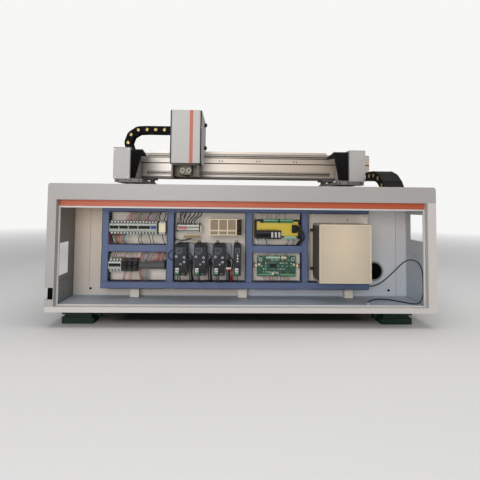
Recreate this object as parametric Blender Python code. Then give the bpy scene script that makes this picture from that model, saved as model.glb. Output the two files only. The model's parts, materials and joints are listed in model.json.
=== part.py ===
"""Gantry fibre laser cutting machine with its electrics cabinet open, at real size.

Metres, +Z up. X runs along the cabinet face, +Y from the cabinet end to the rear,
and the origin lies on the floor under the middle of the base. A depth is a
distance behind the cabinet face.
"""
import math

import bmesh
import bpy
from mathutils import Matrix, Vector

# Base
BASE_WIDTH = 2.10
BASE_LENGTH = 3.80
FOOT_HEIGHT = 0.084
BED_TOP = 0.766
SHEET = 0.003
GAP = 0.0003
SKIRT_PROUD = 0.005
SKIRT_HEIGHT = 0.066
CORNER_RADIUS = 0.012

HALF = BASE_WIDTH / 2
FRONT = -BASE_LENGTH / 2
BACK = BASE_LENGTH / 2
SKIRT_TOP = FOOT_HEIGHT + SKIRT_HEIGHT

# Cabinet face and the box behind it
FACE_DEPTH = 0.045
JAMB_WIDTH = 0.047
OPENING_HALF = HALF - JAMB_WIDTH
OPENING_BOTTOM = 0.112
OPENING_TOP = 0.679
NOTCH_HEIGHT = 0.062
CABINET_CLEARANCE = 0.002
CABINET_HALF = OPENING_HALF + CABINET_CLEARANCE
CABINET_FLOOR = 0.114
CABINET_CEILING = 0.655
CABINET_BACK = 0.290
LIP_WIDTH = 0.014
LIP_RIM = 0.0085
LIP_INSET = 0.007
LIP_HALF = OPENING_HALF - LIP_INSET
LIP_BOTTOM = 0.1175
LIP_TOP = 0.636
LIP_FRONT = 0.038
LEFT_WINDOW = (0.262, 0.440)
RIGHT_WINDOW = (0.464, 0.613)
LEFT_WINDOW_BACK, RIGHT_WINDOW_BACK = 0.205, 0.229
OUTER_WINDOW = (0.100, 0.370)
OUTER_WINDOW_BELOW, OUTER_WINDOW_ABOVE = 0.034, 0.012
CABLE_HOLE_RADIUS = 0.054
CABLE_HOLE_X = 0.802
CABLE_HOLE_Z = 0.266
DRAIN_RADIUS = 0.006
DRAINS = ((-0.900, 0.154), (0.894, 0.150))

NOTCH_TOP = SKIRT_TOP + NOTCH_HEIGHT

# Mounting panel and its wiring ducts
PANEL_LEFT, PANEL_RIGHT = -0.832, 0.750
PANEL_BOTTOM, PANEL_TOP = 0.174, 0.645
PANEL_FRONT = 0.237
PANEL_POSTS = (-0.628, 0.004, 0.636)
POST_WIDTH = 0.050
DUCT_WIDTH = 0.042
DUCT_FRONT = 0.179
DUCT_UPRIGHTS = (-0.7905, -0.4185, 0.0375, 0.3625)
DUCT_SHELF = 0.405
TOP_DUCT = 0.634

# Equipment on the panel: left, right, bottom, top
BREAKERS = (-0.761, -0.493, 0.484, 0.563)
BREAKER_POLES = (3, 3, 3, 4, 2)
RELAY = (-0.483, -0.444)
LOWER_BREAKER = (-0.762, -0.690, 0.271, 0.349)
LOWER_POLES = 4
CONTACTORS = (-0.688, -0.598)
TERMINALS = (-0.596, -0.446, 0.286, 0.331)
TERMINAL_BLOCK = (-0.381, -0.249, 0.504, 0.550)
EARTH_BAR = (-0.345, -0.248, 0.464, 0.480)
SUPPLY = (-0.192, -0.010, 0.484, 0.578)
DRIVES = {
    "servo_drive_x": (-0.379, -0.311),
    "servo_drive_y_left": (-0.271, -0.204),
    "servo_drive_y_right": (-0.164, -0.100),
    "servo_drive_z": (-0.051, -0.012),
}
DRIVE_BOTTOM, DRIVE_TOP = 0.266, 0.436
CONTROLLER = (0.071, 0.331, 0.464, 0.578)
IO_BOARD = (0.085, 0.314, 0.243, 0.364)
COMPUTER = (0.419, 0.710, 0.233, 0.557)
BREAKER_NOSE = 0.153
BREAKER_SHOULDER = 0.177
DRIVE_FRONT = 0.070
COMPUTER_FRONT = 0.049
HUB_RADIUS = 0.0055
HUB_CLEARANCE = 0.0004
HANDLE_REST = math.radians(40)

# Bed
RAIL_BEAM_WIDTH = 0.120
RAIL_BEAM_INSET = 0.185
RAIL_BEAM = (HALF - RAIL_BEAM_INSET - RAIL_BEAM_WIDTH, HALF - RAIL_BEAM_INSET)
RAIL_BEAM_HEIGHT = 0.140
RAIL_BEAM_START = 0.310
POST_STATIONS = (0.40, 1.33, 2.30, 3.25)
CHASSIS_TUBE = 0.080
TABLE_MARGIN = 0.045
TABLE_HALF = RAIL_BEAM[0] - TABLE_MARGIN
TABLE_START, TABLE_END = 0.58, 3.52
TABLE_BAR = 0.035
SLAT_TOP = 0.745
SLAT_HEIGHT = 0.055
SLAT_PITCH = 0.155
SLAT_THICKNESS = 0.004
SLAT_TEETH = 6
TOOTH_DEPTH = 0.014
TRAY_MARGIN = 0.060
TRAY_HALF = TABLE_HALF - TRAY_MARGIN
TRAY_HEIGHT = 0.220
Y_RAIL_INSET = 0.045
Y_RAIL_X = RAIL_BEAM[0] + Y_RAIL_INSET
Y_RAIL_WIDTH = 0.025
Y_RAIL_HEIGHT = 0.023
Y_RAIL_START, Y_RAIL_END = 0.52, 3.74
Y_RACK_OFFSET = 0.052
Y_RACK_X = Y_RAIL_X + Y_RACK_OFFSET
RACK_WIDTH = 0.022
RACK_HEIGHT = 0.020

# Feet: wedge mounts pushed under the skirt by hand, so not quite mirrored
FOOT_LENGTH = 0.172
FOOT_WIDTH = 0.110
FOOT_INSET = 0.090
FEET = {
    "foot_front_left": (0.146 - HALF, 0.150, 1),
    "foot_front_right": (HALF - 0.186, 0.150, -1),
    "foot_middle_left": (FOOT_INSET - HALF, 1.820, 1),
    "foot_middle_right": (HALF - FOOT_INSET, 1.820, -1),
    "foot_rear_left": (FOOT_INSET - HALF, 3.740, 1),
    "foot_rear_right": (HALF - FOOT_INSET, 3.740, -1),
}

# Gantry
HOUSING_FRONT = 0.770
HOUSING_WIDTH = 0.118
HOUSING_INNER = Y_RAIL_X + 0.006
HOUSING_OUTER = HOUSING_INNER + HOUSING_WIDTH
HOUSING_BOTTOM, HOUSING_TOP = 0.838, 1.065
BEAM_FRONT = 1.200
BEAM_THICKNESS = 0.180
BEAM_BOTTOM, BEAM_TOP = 0.873, 1.077
BEAM_LEFT, BEAM_RIGHT = 0.020 - HALF, HALF + 0.035
X_RAILS = (0.917, 1.055)
X_RAIL_HEIGHT = 0.020
X_RAIL_DEPTH = 0.018
SADDLE_THICKNESS = 0.023
SADDLE_INNER, SADDLE_OUTER = Y_RAIL_X - 0.078, Y_RAIL_X + 0.115
BELLOWS_REACH = {
    "bellows_left": (-1, HOUSING_INNER - 0.090, HOUSING_INNER - 0.033),
    "bellows_right": (1, HOUSING_INNER - 0.113, HOUSING_INNER - 0.063),
}
PLEATS = 8
PLEAT_DEPTH = 0.020
PLEAT_RISE = 0.012

# Drag chains
X_PITCH, X_RADIUS = 0.0755, 0.119
X_CHAIN_TOP = 1.303
X_BEND = -0.840
X_FIXED = 0.040
X_MOVING = -0.420
X_CHAIN_FRONT, X_CHAIN_WIDTH = 1.386, 0.100
Y_PITCH, Y_RADIUS = 0.0872, 0.290
Y_CHAIN_TOP = 0.873
Y_BEND = 0.647
Y_FIXED = 1.900
Y_MOVING = 0.780
Y_CHAIN_CLEARANCE = 0.0005
Y_CHAIN_LEFT, Y_CHAIN_WIDTH = HOUSING_OUTER + Y_CHAIN_CLEARANCE, 0.130
LINK_HEIGHT = 0.064
LINK_WALL = 0.009
LINK_CORNER = 35
LINK_STEP = 0.0012
OUTER_BAR, INNER_BAR = 0.94, 0.33
BAR_THICKNESS = 0.006
CHAIN_ROOM = 0.023
CHAIN_REACH = 1.40

# Carriage and Z axis
CARRIAGE_X = -0.4065
CARRIAGE_WIDTH = 0.203
CHEEK = 0.012
CARRIAGE_PLATE = (1.135, 1.152)
CARRIAGE_BOTTOM, CARRIAGE_TOP = 0.862, 1.165
CHEEK_FRONT = 0.840
COVER = (-0.514, -0.284)
COVER_BOTTOM, COVER_TOP = 0.957, 1.344
COVER_BACK = 1.360
COVER_RADIUS = 0.020
COVER_WALL = 0.0025
COVER_REAR_BOTTOM = 1.106
Z_SCREW_Y = 1.060
Z_SCREW_RADIUS = 0.008
Z_PLATE = (0.955, 0.975)
Z_PLATE_HALF = 0.082
Z_PLATE_BOTTOM, Z_PLATE_TOP = 0.868, 1.060
HEAD_FRONT = 0.872
NOZZLE_TIP = 0.858

# Pinions on the racks
MODULE = 0.0025
PINION_TEETH = 16
PINION_HEIGHT = 0.016
SHAFT_RADIUS = 0.008
RUN_CLEARANCE = 0.0005

PITCH_RADIUS = MODULE * PINION_TEETH / 2
ROOT_TO_AXIS = PITCH_RADIUS + 1.25 * MODULE

# Loose network cable in the cabinet: x, depth, z, chosen by hand
CABLE_DIAMETER = 0.007
CABLE_ROUTE = (
    (0.7430, 0.200, 0.190), (0.770, 0.175, 0.201), (0.805, 0.145, 0.229), (0.847, 0.120, 0.277),
    (0.886, 0.100, 0.325), (0.914, 0.086, 0.353), (0.946, 0.073, 0.362), (0.976, 0.064, 0.348),
    (0.994, 0.058, 0.310), (0.999, 0.056, 0.245), (0.998, 0.056, 0.175), (0.983, 0.062, 0.130),
    (0.955, 0.080, 0.1184), (0.918, 0.115, 0.1184), (0.875, 0.164, 0.1184), (0.827, 0.194, 0.1184),
    (0.775, 0.188, 0.1184), (0.732, 0.150, 0.1184), (0.708, 0.110, 0.1184), (0.700, 0.083, 0.1184),
)
PLUG_SIZE = (0.011, 0.021, 0.008)

PAINT = (0.46, 0.43, 0.41)
ORANGE = (0.56, 0.12, 0.06)
PALE = (0.68, 0.62, 0.60)
BLUE_GREY = (0.08, 0.12, 0.25)
WARM_PANEL = (0.38, 0.33, 0.27)
BLACK = (0.012, 0.012, 0.013)
STEEL = (0.50, 0.42, 0.30)
BRIGHT = (0.60, 0.60, 0.58)
ALUMINIUM = (0.68, 0.58, 0.48)
DARK_GREEN = (0.008, 0.045, 0.026)
CREAM = (0.66, 0.60, 0.45)
YELLOW = (0.72, 0.50, 0.04)
BOARD_GREEN = (0.03, 0.22, 0.09)
BREAKER_WHITE = (0.62, 0.66, 0.60)
BLUE = (0.03, 0.12, 0.45)
BRASS = (0.70, 0.48, 0.16)

part = bpy.data.collections.new("fiber_laser_cutting_machine")
finishes = {}


def clear_scene():
    for obj in list(bpy.data.objects):
        bpy.data.objects.remove(obj, do_unlink=True)
    bpy.context.scene.collection.children.link(part)


def at(depth):
    """World Y of a distance behind the cabinet face."""
    return FRONT + depth


def linked(mesh, name="piece"):
    obj = bpy.data.objects.new(name, mesh)
    part.objects.link(obj)
    return obj


def from_bmesh(bm):
    mesh = bpy.data.meshes.new("piece")
    bmesh.ops.recalc_face_normals(bm, faces=bm.faces)
    bm.to_mesh(mesh)
    bm.free()
    return linked(mesh)


def box(x, y, z):
    """A box from three pairs of limits."""
    size = Vector((x[1] - x[0], y[1] - y[0], z[1] - z[0]))
    middle = Vector((x[0] + x[1], y[0] + y[1], z[0] + z[1])) / 2
    bm = bmesh.new()
    bmesh.ops.create_cube(bm, size=1, matrix=Matrix.Translation(middle) @ Matrix.Diagonal((*size, 1)))
    return from_bmesh(bm)


def turn_to(axis):
    return {"X": Matrix.Rotation(math.pi / 2, 4, "Y"), "Y": Matrix.Rotation(math.pi / 2, 4, "X"),
            "Z": Matrix.Identity(4)}[axis]


def cylinder(centre, axis, radius, length, sides=16, end_radius=None):
    bm = bmesh.new()
    place = Matrix.Translation(Vector(centre)) @ turn_to(axis)
    bmesh.ops.create_cone(bm, cap_ends=True, segments=sides, radius1=radius,
                          radius2=radius if end_radius is None else end_radius, depth=length, matrix=place)
    return from_bmesh(bm)


def prism(points, axis, start, end):
    """A flat outline, drawn in the two other axes, drawn out along one axis."""
    spots = {"X": lambda a, b: (start, a, b), "Y": lambda a, b: (a, start, b), "Z": lambda a,
             b: (a, b, start)}[axis]
    along = {"X": Vector((1, 0, 0)), "Y": Vector((0, 1, 0)), "Z": Vector((0, 0, 1))}[axis] * (end - start)
    bm = bmesh.new()
    face = bm.faces.new([bm.verts.new(spots(a, b)) for a, b in points])
    grown = bmesh.ops.extrude_face_region(bm, geom=[face])
    bmesh.ops.translate(bm, vec=along, verts=[v for v in grown["geom"] if isinstance(v,
            bmesh.types.BMVert)])
    return from_bmesh(bm)


def rounded_box(x, y, z, radius, direction, segments=3):
    """A box whose four edges along one direction are rounded."""
    obj = box(x, y, z)
    bm = bmesh.new()
    bm.from_mesh(obj.data)
    index = "XYZ".index(direction)
    edges = [e for e in bm.edges if abs((e.verts[0].co - e.verts[1].co).normalized()[index]) > 0.99]
    bmesh.ops.bevel(bm, geom=edges, offset=radius, segments=segments, affect="EDGES", profile=0.5)
    bm.to_mesh(obj.data)
    bm.free()
    return obj


def solve(base, others, operation):
    """The base joined with, or cut by, the others; these are used up."""
    group = bpy.data.collections.new("cutters")
    for other in others:
        part.objects.unlink(other)
        group.objects.link(other)
    bpy.context.scene.collection.children.link(group)
    boolean = base.modifiers.new(operation, "BOOLEAN")
    boolean.operation = operation
    boolean.operand_type = "COLLECTION"
    boolean.collection = group
    boolean.solver = "EXACT"
    mesh = bpy.data.meshes.new_from_object(base.evaluated_get(bpy.context.evaluated_depsgraph_get()))
    base.modifiers.clear()
    base.data = mesh
    for other in others:
        bpy.data.objects.remove(other, do_unlink=True)
    bpy.data.collections.remove(group)
    return base


def fuse(*pieces):
    return solve(pieces[0], pieces[1:], "UNION") if len(pieces) > 1 else pieces[0]


def cut(base, *cutters):
    return solve(base, cutters, "DIFFERENCE")


def tidy(obj):
    """Merges faces that a Boolean left in pieces on one flat."""
    bm = bmesh.new()
    bm.from_mesh(obj.data)
    bmesh.ops.remove_doubles(bm, verts=bm.verts, dist=1e-6)
    bmesh.ops.dissolve_limit(bm, angle_limit=math.radians(0.2), verts=bm.verts, edges=bm.edges)
    bm.to_mesh(obj.data)
    bm.free()


def finish(name, obj, colour, roughness=0.5, metallic=0.0):
    """Names the sub-part and gives it its own material."""
    tidy(obj)
    obj.name = name
    obj.data.name = name
    material = bpy.data.materials.new(name)
    material.use_nodes = True
    shader = material.node_tree.nodes["Principled BSDF"]
    shader.inputs["Base Color"].default_value = (*colour, 1)
    shader.inputs["Roughness"].default_value = roughness
    shader.inputs["Metallic"].default_value = metallic
    obj.data.materials.clear()
    obj.data.materials.append(material)
    obj.data.shade_smooth()
    obj.data.set_sharp_from_angle(angle=math.radians(30))
    return obj


def shell_box(x, y, z, wall, open_side):
    """A box with one side open: -X, +X, -Y, +Y, -Z or +Z."""
    inner = [[x[0] + wall, x[1] - wall], [y[0] + wall, y[1] - wall], [z[0] + wall, z[1] - wall]]
    axis = "XYZ".index(open_side[1])
    past = 2 * wall
    if open_side[0] == "+":
        inner[axis][1] += past
    else:
        inner[axis][0] -= past
    return cut(box(x, y, z), box(*inner))


def mirrored(limits, side):
    """Limits in X on one side of the machine, -1 left or 1 right."""
    return tuple(sorted(side * value for value in limits))


def cabinet_face():
    """The folded front frame, with the notch low in its left jamb."""
    back = at(FACE_DEPTH)
    outer = rounded_box((-HALF, HALF), (FRONT, back), (FOOT_HEIGHT, BED_TOP), CORNER_RADIUS, "Y", 2)
    opening = box((-OPENING_HALF, OPENING_HALF), (FRONT - SHEET, back + SHEET),
                  (OPENING_BOTTOM, OPENING_TOP))
    left = (-HALF + SHEET, -OPENING_HALF - SHEET)
    right = (OPENING_HALF + SHEET, HALF - SHEET)
    behind = (FRONT + SHEET, back + SHEET)
    low, high = FOOT_HEIGHT + SHEET, BED_TOP - SHEET
    pockets = [
        box((left[0], right[1]), behind, (OPENING_TOP + SHEET, high)),
        box((left[0], right[1]), behind, (low, OPENING_BOTTOM - SHEET)),
        box(right, behind, (low, high)),
        box(left, behind, (low, SKIRT_TOP - SHEET)),
        box(left, behind, (NOTCH_TOP + SHEET, high)),
    ]
    notch = box((-HALF - SHEET, left[1]), (FRONT - SHEET, back + SHEET), (SKIRT_TOP, NOTCH_TOP))
    finish("cabinet_face", cut(outer, opening, notch, *pockets), PAINT, 0.42)


def cabinet_shell():
    """The welded tray behind the face: its sealing flange, side windows, cable hole and drain holes."""
    front, back = at(FACE_DEPTH + GAP), at(CABINET_BACK + SHEET)
    outside = CABINET_HALF + SHEET
    tray = cut(box((-outside, outside), (front, back),
                   (CABINET_FLOOR - SHEET, CABINET_CEILING + SHEET)),
               box((-CABINET_HALF, CABINET_HALF), (front - SHEET, at(CABINET_BACK)),
                   (CABINET_FLOOR, CABINET_CEILING)),)
    outline = (CABINET_FLOOR - SHEET, OPENING_TOP + LIP_WIDTH / 2)
    flange = box((-outside, outside), (front, front + SHEET), outline)
    side = OPENING_HALF - GAP
    rim = box((-side, side), (at(LIP_FRONT), front + SHEET / 2), (OPENING_BOTTOM + GAP, LIP_TOP + LIP_RIM))
    mouth = box((-LIP_HALF, LIP_HALF), (at(LIP_FRONT) - SHEET, front + 2 * SHEET), (LIP_BOTTOM, LIP_TOP))
    body = fuse(tray, flange, rim)
    window_front = front + LIP_WIDTH
    holes = [
        mouth,
        box((-outside - SHEET, -CABINET_HALF + SHEET), (window_front, at(LEFT_WINDOW_BACK)), LEFT_WINDOW),
        box((CABINET_HALF - SHEET, outside + SHEET), (window_front, at(RIGHT_WINDOW_BACK)), RIGHT_WINDOW),
        cylinder((CABLE_HOLE_X, back, CABLE_HOLE_Z), "Y", CABLE_HOLE_RADIUS, 4 * SHEET, 24),
    ]
    holes += [cylinder((x, back, z), "Y", DRAIN_RADIUS, 4 * SHEET, 8) for x, z in DRAINS]
    finish("cabinet_shell", cut(body, *holes), PAINT, 0.45)


def orange_trim():
    """The orange strip over the cabinet's mouth."""
    side = OPENING_HALF - GAP
    low = LIP_TOP + LIP_RIM + GAP
    trim = box((-side, side), (at(LIP_FRONT) + SHEET / 2, at(FACE_DEPTH)), (low, OPENING_TOP - GAP))
    finish("orange_trim_strip", trim, ORANGE, 0.4)


def chassis_frame():
    """The welded frame: skirt, cross tubes, posts and the two beams that carry the Y rails."""
    outside = HALF + SKIRT_PROUD
    inside = HALF - CHASSIS_TUBE
    front, back = at(FACE_DEPTH + GAP), BACK
    skirt = cut(rounded_box((-outside, outside), (front, back), (FOOT_HEIGHT, SKIRT_TOP), CORNER_RADIUS,
                            "Y", 2), box((-inside, inside), (front + CABINET_BACK, back - CHASSIS_TUBE),
                                         (0, 1)),
                box((-outside, outside), (front - SHEET, at(CABINET_BACK + SHEET) + GAP),
                    (CABINET_FLOOR - SHEET - GAP, 1)),)
    pieces = [skirt]
    beam_bottom = BED_TOP - RAIL_BEAM_HEIGHT
    for depth in POST_STATIONS:
        tube = (at(depth), at(depth) + CHASSIS_TUBE)
        pieces.append(box((-inside - SHEET, inside + SHEET), tube, (FOOT_HEIGHT + SHEET, SKIRT_TOP)))
        for side in (-1, 1):
            post = mirrored((RAIL_BEAM[1] - CHASSIS_TUBE, RAIL_BEAM[1] - SHEET), side)
            pieces.append(box(post, (tube[0] + SHEET, tube[1] - SHEET),
                              (SKIRT_TOP - SHEET, beam_bottom + SHEET)))
    for side in (-1, 1):
        pieces.append(box(mirrored(RAIL_BEAM, side), (at(RAIL_BEAM_START), BACK - 0.02),
                          (beam_bottom, BED_TOP)))
        ledge = mirrored((TABLE_HALF - TABLE_BAR, RAIL_BEAM[0] + SHEET), side)
        under = SLAT_TOP - SLAT_HEIGHT - GAP
        pieces.append(box(ledge, (at(TABLE_START), at(TABLE_END)), (under - 0.010, under)))
    channel = (-HALF + 0.015, -CABINET_HALF - SHEET - 2 * GAP)
    pieces.append(box(channel, (at(2 * SHEET), BACK - CHASSIS_TUBE), (SKIRT_TOP + GAP, NOTCH_TOP - GAP)))
    pieces.append(box(channel, (at(0.35), BACK - CHASSIS_TUBE - SHEET),
                      (SKIRT_TOP - SHEET, SKIRT_TOP + 2 * SHEET)))
    finish("chassis_frame", fuse(*pieces, *chain_trough()), PAINT, 0.5)


def chain_trough():
    """Open trough along the right side, on arms from the posts, that the Y drag chain lies in."""
    low = Y_CHAIN_TOP - 2 * Y_RADIUS - LINK_HEIGHT / 2 - GAP
    inner, outer = Y_CHAIN_LEFT - 0.004, Y_CHAIN_LEFT + Y_CHAIN_WIDTH + 0.0022
    start, end = at(CABINET_BACK + 0.06), BACK - 0.10
    floor = box((inner - SHEET, outer), (start, end), (low - SHEET, low))
    wall = box((inner - SHEET, inner), (start, end), (low - SHEET / 2, low + 0.085))
    arms = [box((RAIL_BEAM[1] - CHASSIS_TUBE / 2, outer), (at(depth) + 0.02, at(depth) + 0.06),
                (low - 0.03, low - SHEET / 2)) for depth in POST_STATIONS]
    return [floor, wall, *arms]


def covers():
    """Folded sheet covers on both sides and the rear, and the deck on top."""
    front = at(FACE_DEPTH + GAP)
    rear = BACK - SHEET - GAP
    for side, low in ((-1, NOTCH_TOP), (1, SKIRT_TOP)):
        skin = mirrored((HALF - SHEET, HALF), side)
        fold = mirrored((HALF - 0.028, HALF - SHEET / 2), side)
        inner_window = LEFT_WINDOW if side < 0 else RIGHT_WINDOW
        window = (inner_window[0] - OUTER_WINDOW_BELOW, inner_window[1] + OUTER_WINDOW_ABOVE)
        panel = fuse(box(skin, (front, rear), (low + GAP, BED_TOP)),
                     box(fold, (front + SHEET, rear - SHEET), (low + GAP, low + GAP + SHEET)),
                     box(mirrored((HALF - 0.040, HALF - SHEET / 2), side), (rear - SHEET, rear),
                         (low + GAP, BED_TOP - 0.02)),)
        cut(panel, box(mirrored((HALF - 3 * SHEET, HALF + SHEET), side),
                       (at(OUTER_WINDOW[0]), at(OUTER_WINDOW[1])), window))
        finish("side_panel_left" if side < 0 else "side_panel_right", panel, PAINT, 0.42)
    rear_panel = fuse(box((-HALF, HALF), (BACK - SHEET, BACK), (SKIRT_TOP + GAP, BED_TOP)),
                      box((-HALF + 0.06, HALF - 0.06), (BACK - 0.018, BACK - SHEET / 2),
                          (SKIRT_TOP + GAP, SKIRT_TOP + GAP + SHEET)),)
    finish("rear_panel", rear_panel, PAINT, 0.42)
    bed_deck(front, rear)


def bed_deck(front, rear):
    """Deck sheet, open over the table, round the rail beams and over the drag chain."""
    under = (BED_TOP - 3 * SHEET, BED_TOP + SHEET)
    edge = HALF - SHEET - GAP
    deck = box((-edge, edge), (front, rear), (BED_TOP - SHEET, BED_TOP - GAP))
    openings = [box((-TABLE_HALF, TABLE_HALF), (at(TABLE_START) - 0.02, at(TABLE_END) + 0.02), under)]
    for side in (-1, 1):
        beam = mirrored((RAIL_BEAM[0] - GAP, RAIL_BEAM[1] + GAP), side)
        openings.append(box(beam, (at(RAIL_BEAM_START) - GAP, BACK - 0.02 + GAP), under))
    chain = (Y_CHAIN_LEFT - 0.012, HALF)
    openings.append(box(chain, (at(Y_BEND - Y_RADIUS) - LINK_HEIGHT / 2 - CHAIN_ROOM,
                                at(Y_FIXED) + CHAIN_REACH), under))
    fold = box((-edge, edge), (front, front + SHEET), (BED_TOP - 0.025, BED_TOP - GAP))
    finish("bed_deck", cut(fuse(deck, fold), *openings), PAINT, 0.45)


def slat_table():
    """Two side bars with saw-toothed slats across them."""
    low = SLAT_TOP - SLAT_HEIGHT
    start, end = at(TABLE_START), at(TABLE_END)
    bars = [box(mirrored((TABLE_HALF - TABLE_BAR, TABLE_HALF - 2 * SHEET), side), (start, end),
                (low, SLAT_TOP - 2 * TOOTH_DEPTH)) for side in (-1, 1)]
    reach = TABLE_HALF - TABLE_BAR + SHEET
    step = 2 * reach / SLAT_TEETH
    outline = [(-reach, low + SHEET), (reach, low + SHEET), (reach, SLAT_TOP - TOOTH_DEPTH)]
    for tooth in reversed(range(SLAT_TEETH)):
        left = -reach + tooth * step
        outline.append((left + step / 2, SLAT_TOP))
        outline.append((left, SLAT_TOP - TOOTH_DEPTH))
    count = int((TABLE_END - TABLE_START - SLAT_PITCH / 2) / SLAT_PITCH)
    slats = []
    for number in range(count):
        middle = start + SLAT_PITCH * (number + 0.75)
        slats.append(prism(outline, "Y", middle - SLAT_THICKNESS / 2, middle + SLAT_THICKNESS / 2))
    finish("slat_table", fuse(*bars, *slats), (0.20, 0.17, 0.15), 0.6, 0.8)


def scrap_tray():
    tray = shell_box((-TRAY_HALF, TRAY_HALF), (at(TABLE_START + 0.03), at(TABLE_END - 0.03)),
                     (SKIRT_TOP + GAP, SKIRT_TOP + TRAY_HEIGHT), SHEET, "+Z")
    finish("scrap_tray", tray, (0.25, 0.24, 0.23), 0.5, 0.7)


def feet():
    """Wedge levelling mounts: base, sloped wedge, pad and the adjusting bolt facing inwards."""
    for name, (x, depth, inward) in FEET.items():
        half = FOOT_LENGTH / 2
        y = (at(depth) - FOOT_WIDTH / 2, at(depth) + FOOT_WIDTH / 2)
        top = FOOT_HEIGHT - GAP
        outer, inner = x - inward * half, x + inward * half
        base = prism([(outer, 0), (inner, 0), (inner, 0.024), (outer, 0.036)], "Y", *y)
        wedge_y = (y[0] + 0.012, y[1] - 0.012)
        wedge = prism([(outer + inward * 0.012, 0.034), (inner - inward * 0.014, 0.022),
                       (inner - inward * 0.014, 0.064), (outer + inward * 0.012, 0.052)], "Y", *wedge_y)
        pad = prism([(outer, 0.050), (inner, 0.061), (inner, top - 0.012), (inner - inward * 0.012, top),
                     (outer + inward * 0.012, top), (outer, top - 0.012)], "Y", *y)
        bolt_y = (y[0] + y[1]) / 2
        bolt = cylinder((inner + inward * 0.004, bolt_y, 0.040), "X", 0.010, 0.050, 8)
        knob = cylinder((inner + inward * 0.022, bolt_y, 0.040), "X", 0.019, 0.018, 12)
        finish(name, fuse(base, wedge, pad, bolt, knob), DARK_GREEN, 0.45)


def y_rails():
    """Linear rails, one on each rail beam, with the counterbored form of their sides."""
    for side in (-1, 1):
        middle = side * Y_RAIL_X
        wide, waist = Y_RAIL_WIDTH / 2, Y_RAIL_WIDTH / 2 - 0.003
        low, high = BED_TOP + GAP, BED_TOP + GAP + Y_RAIL_HEIGHT
        outline = [(middle + a, b) for a, b in ((-wide, low), (wide, low), (wide, low + 0.008),
                                                (waist, low + 0.011), (waist, high - 0.006),
                                                (wide, high - 0.003), (wide, high), (-wide, high),
                                                (-wide, high - 0.003), (-waist, high - 0.006),
                                                (-waist, low + 0.011), (-wide, low + 0.008))]
        finish("y_rail_left" if side < 0 else "y_rail_right",
               prism(outline, "Y", at(Y_RAIL_START), at(Y_RAIL_END)), BRIGHT, 0.25, 1.0)
        rack = box(mirrored((Y_RACK_X - RACK_WIDTH / 2, Y_RACK_X + RACK_WIDTH / 2), side),
                   (at(Y_RAIL_START), at(Y_RAIL_END)), (BED_TOP + GAP, BED_TOP + GAP + RACK_HEIGHT))
        finish("y_rack_left" if side < 0 else "y_rack_right", rack, BRIGHT, 0.35, 1.0)


def mounting_panel():
    """Equipment plate on three posts and stand-offs from the back wall."""
    back = at(CABINET_BACK) - GAP
    plate = box((PANEL_LEFT, PANEL_RIGHT), (at(PANEL_FRONT), at(PANEL_FRONT + SHEET)),
                (PANEL_BOTTOM, PANEL_TOP))
    pieces = [plate]
    for x in PANEL_POSTS:
        post = (x - POST_WIDTH / 2, x + POST_WIDTH / 2)
        pieces.append(box(post, (at(PANEL_FRONT + SHEET / 2), back),
                          (CABINET_FLOOR + GAP, PANEL_TOP - 0.02)))
    finish("mounting_panel", fuse(*pieces), WARM_PANEL, 0.5)


def wiring_ducts():
    """The grid of slotted trunking: bottom and top runs, four uprights and two shelves."""
    y = (at(DUCT_FRONT), at(PANEL_FRONT) - GAP)
    half = DUCT_WIDTH / 2
    shelf = (DUCT_SHELF - half, DUCT_SHELF + half)
    lid = 0.0015
    runs = [
        ((PANEL_LEFT + 0.018, PANEL_RIGHT - 0.010), (PANEL_BOTTOM, PANEL_BOTTOM + DUCT_WIDTH)),
        ((PANEL_LEFT + 0.018, PANEL_RIGHT - 0.010), (TOP_DUCT - half, PANEL_TOP)),
        ((DUCT_UPRIGHTS[0], DUCT_UPRIGHTS[1]), shelf),
        ((DUCT_UPRIGHTS[2], DUCT_UPRIGHTS[3]), shelf),
    ]
    runs += [((x - half, x + half), (PANEL_BOTTOM + half, TOP_DUCT)) for x in DUCT_UPRIGHTS]
    bodies = [box(x, (y[0] + 0.010, y[1]), z) for x, z in runs]
    lids = []
    for number, (x, z) in enumerate(runs):
        proud = lid if number < 4 else lid / 2
        lids.append(box((x[0] + lid, x[1] - lid), (y[0] + lid - proud, y[0] + 0.012),
                        (z[0] + lid, z[1] - lid)))
    finish("wiring_ducts", fuse(*bodies, *lids), BLUE_GREY, 0.55)


def breaker_outline(low, high):
    """Side view of a modular breaker: stepped nose, shoulders, and a rail slot behind."""
    middle = (low + high) / 2
    nose, shoulder, back = at(BREAKER_NOSE), at(BREAKER_SHOULDER), at(PANEL_FRONT - 0.005)
    return [(back, low), (shoulder, low), (shoulder, middle - 0.0225), (nose, middle - 0.0215),
            (nose, middle + 0.0215), (shoulder, middle + 0.0225), (shoulder, high), (back, high)]


def din_rail(left, right, middle):
    return box((left, right), (at(PANEL_FRONT - 0.0075), at(PANEL_FRONT) - GAP),
               (middle - 0.0175, middle + 0.0175))


def breakers(span, poles):
    """Body outline of a row of breakers, cut between its poles and where its handles turn."""
    left, right, low, high = span
    middle = (low + high) / 2
    pitch = (right - left) / sum(poles)
    body = prism(breaker_outline(low, high), "X", left, right)
    cutters = []
    first = 0
    handles = []
    for count in poles:
        start = left + first * pitch
        end = start + count * pitch
        cutters.append(cylinder(((start + end) / 2, at(BREAKER_NOSE + 0.002), middle), "X",
                                HUB_RADIUS + HUB_CLEARANCE, end - start - 0.006, 12))
        handles.append(((start + 0.0045, end - 0.0045), middle))
        first += count
    for number in range(2, sum(poles), 2):
        seam = left + number * pitch
        cutters.append(box((seam - 0.0004, seam + 0.0004),
                           (at(BREAKER_SHOULDER - 0.001), at(BREAKER_SHOULDER + 0.004)),
                           (low - 0.001, low + 0.016)))
    return body, cutters, handles


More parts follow.
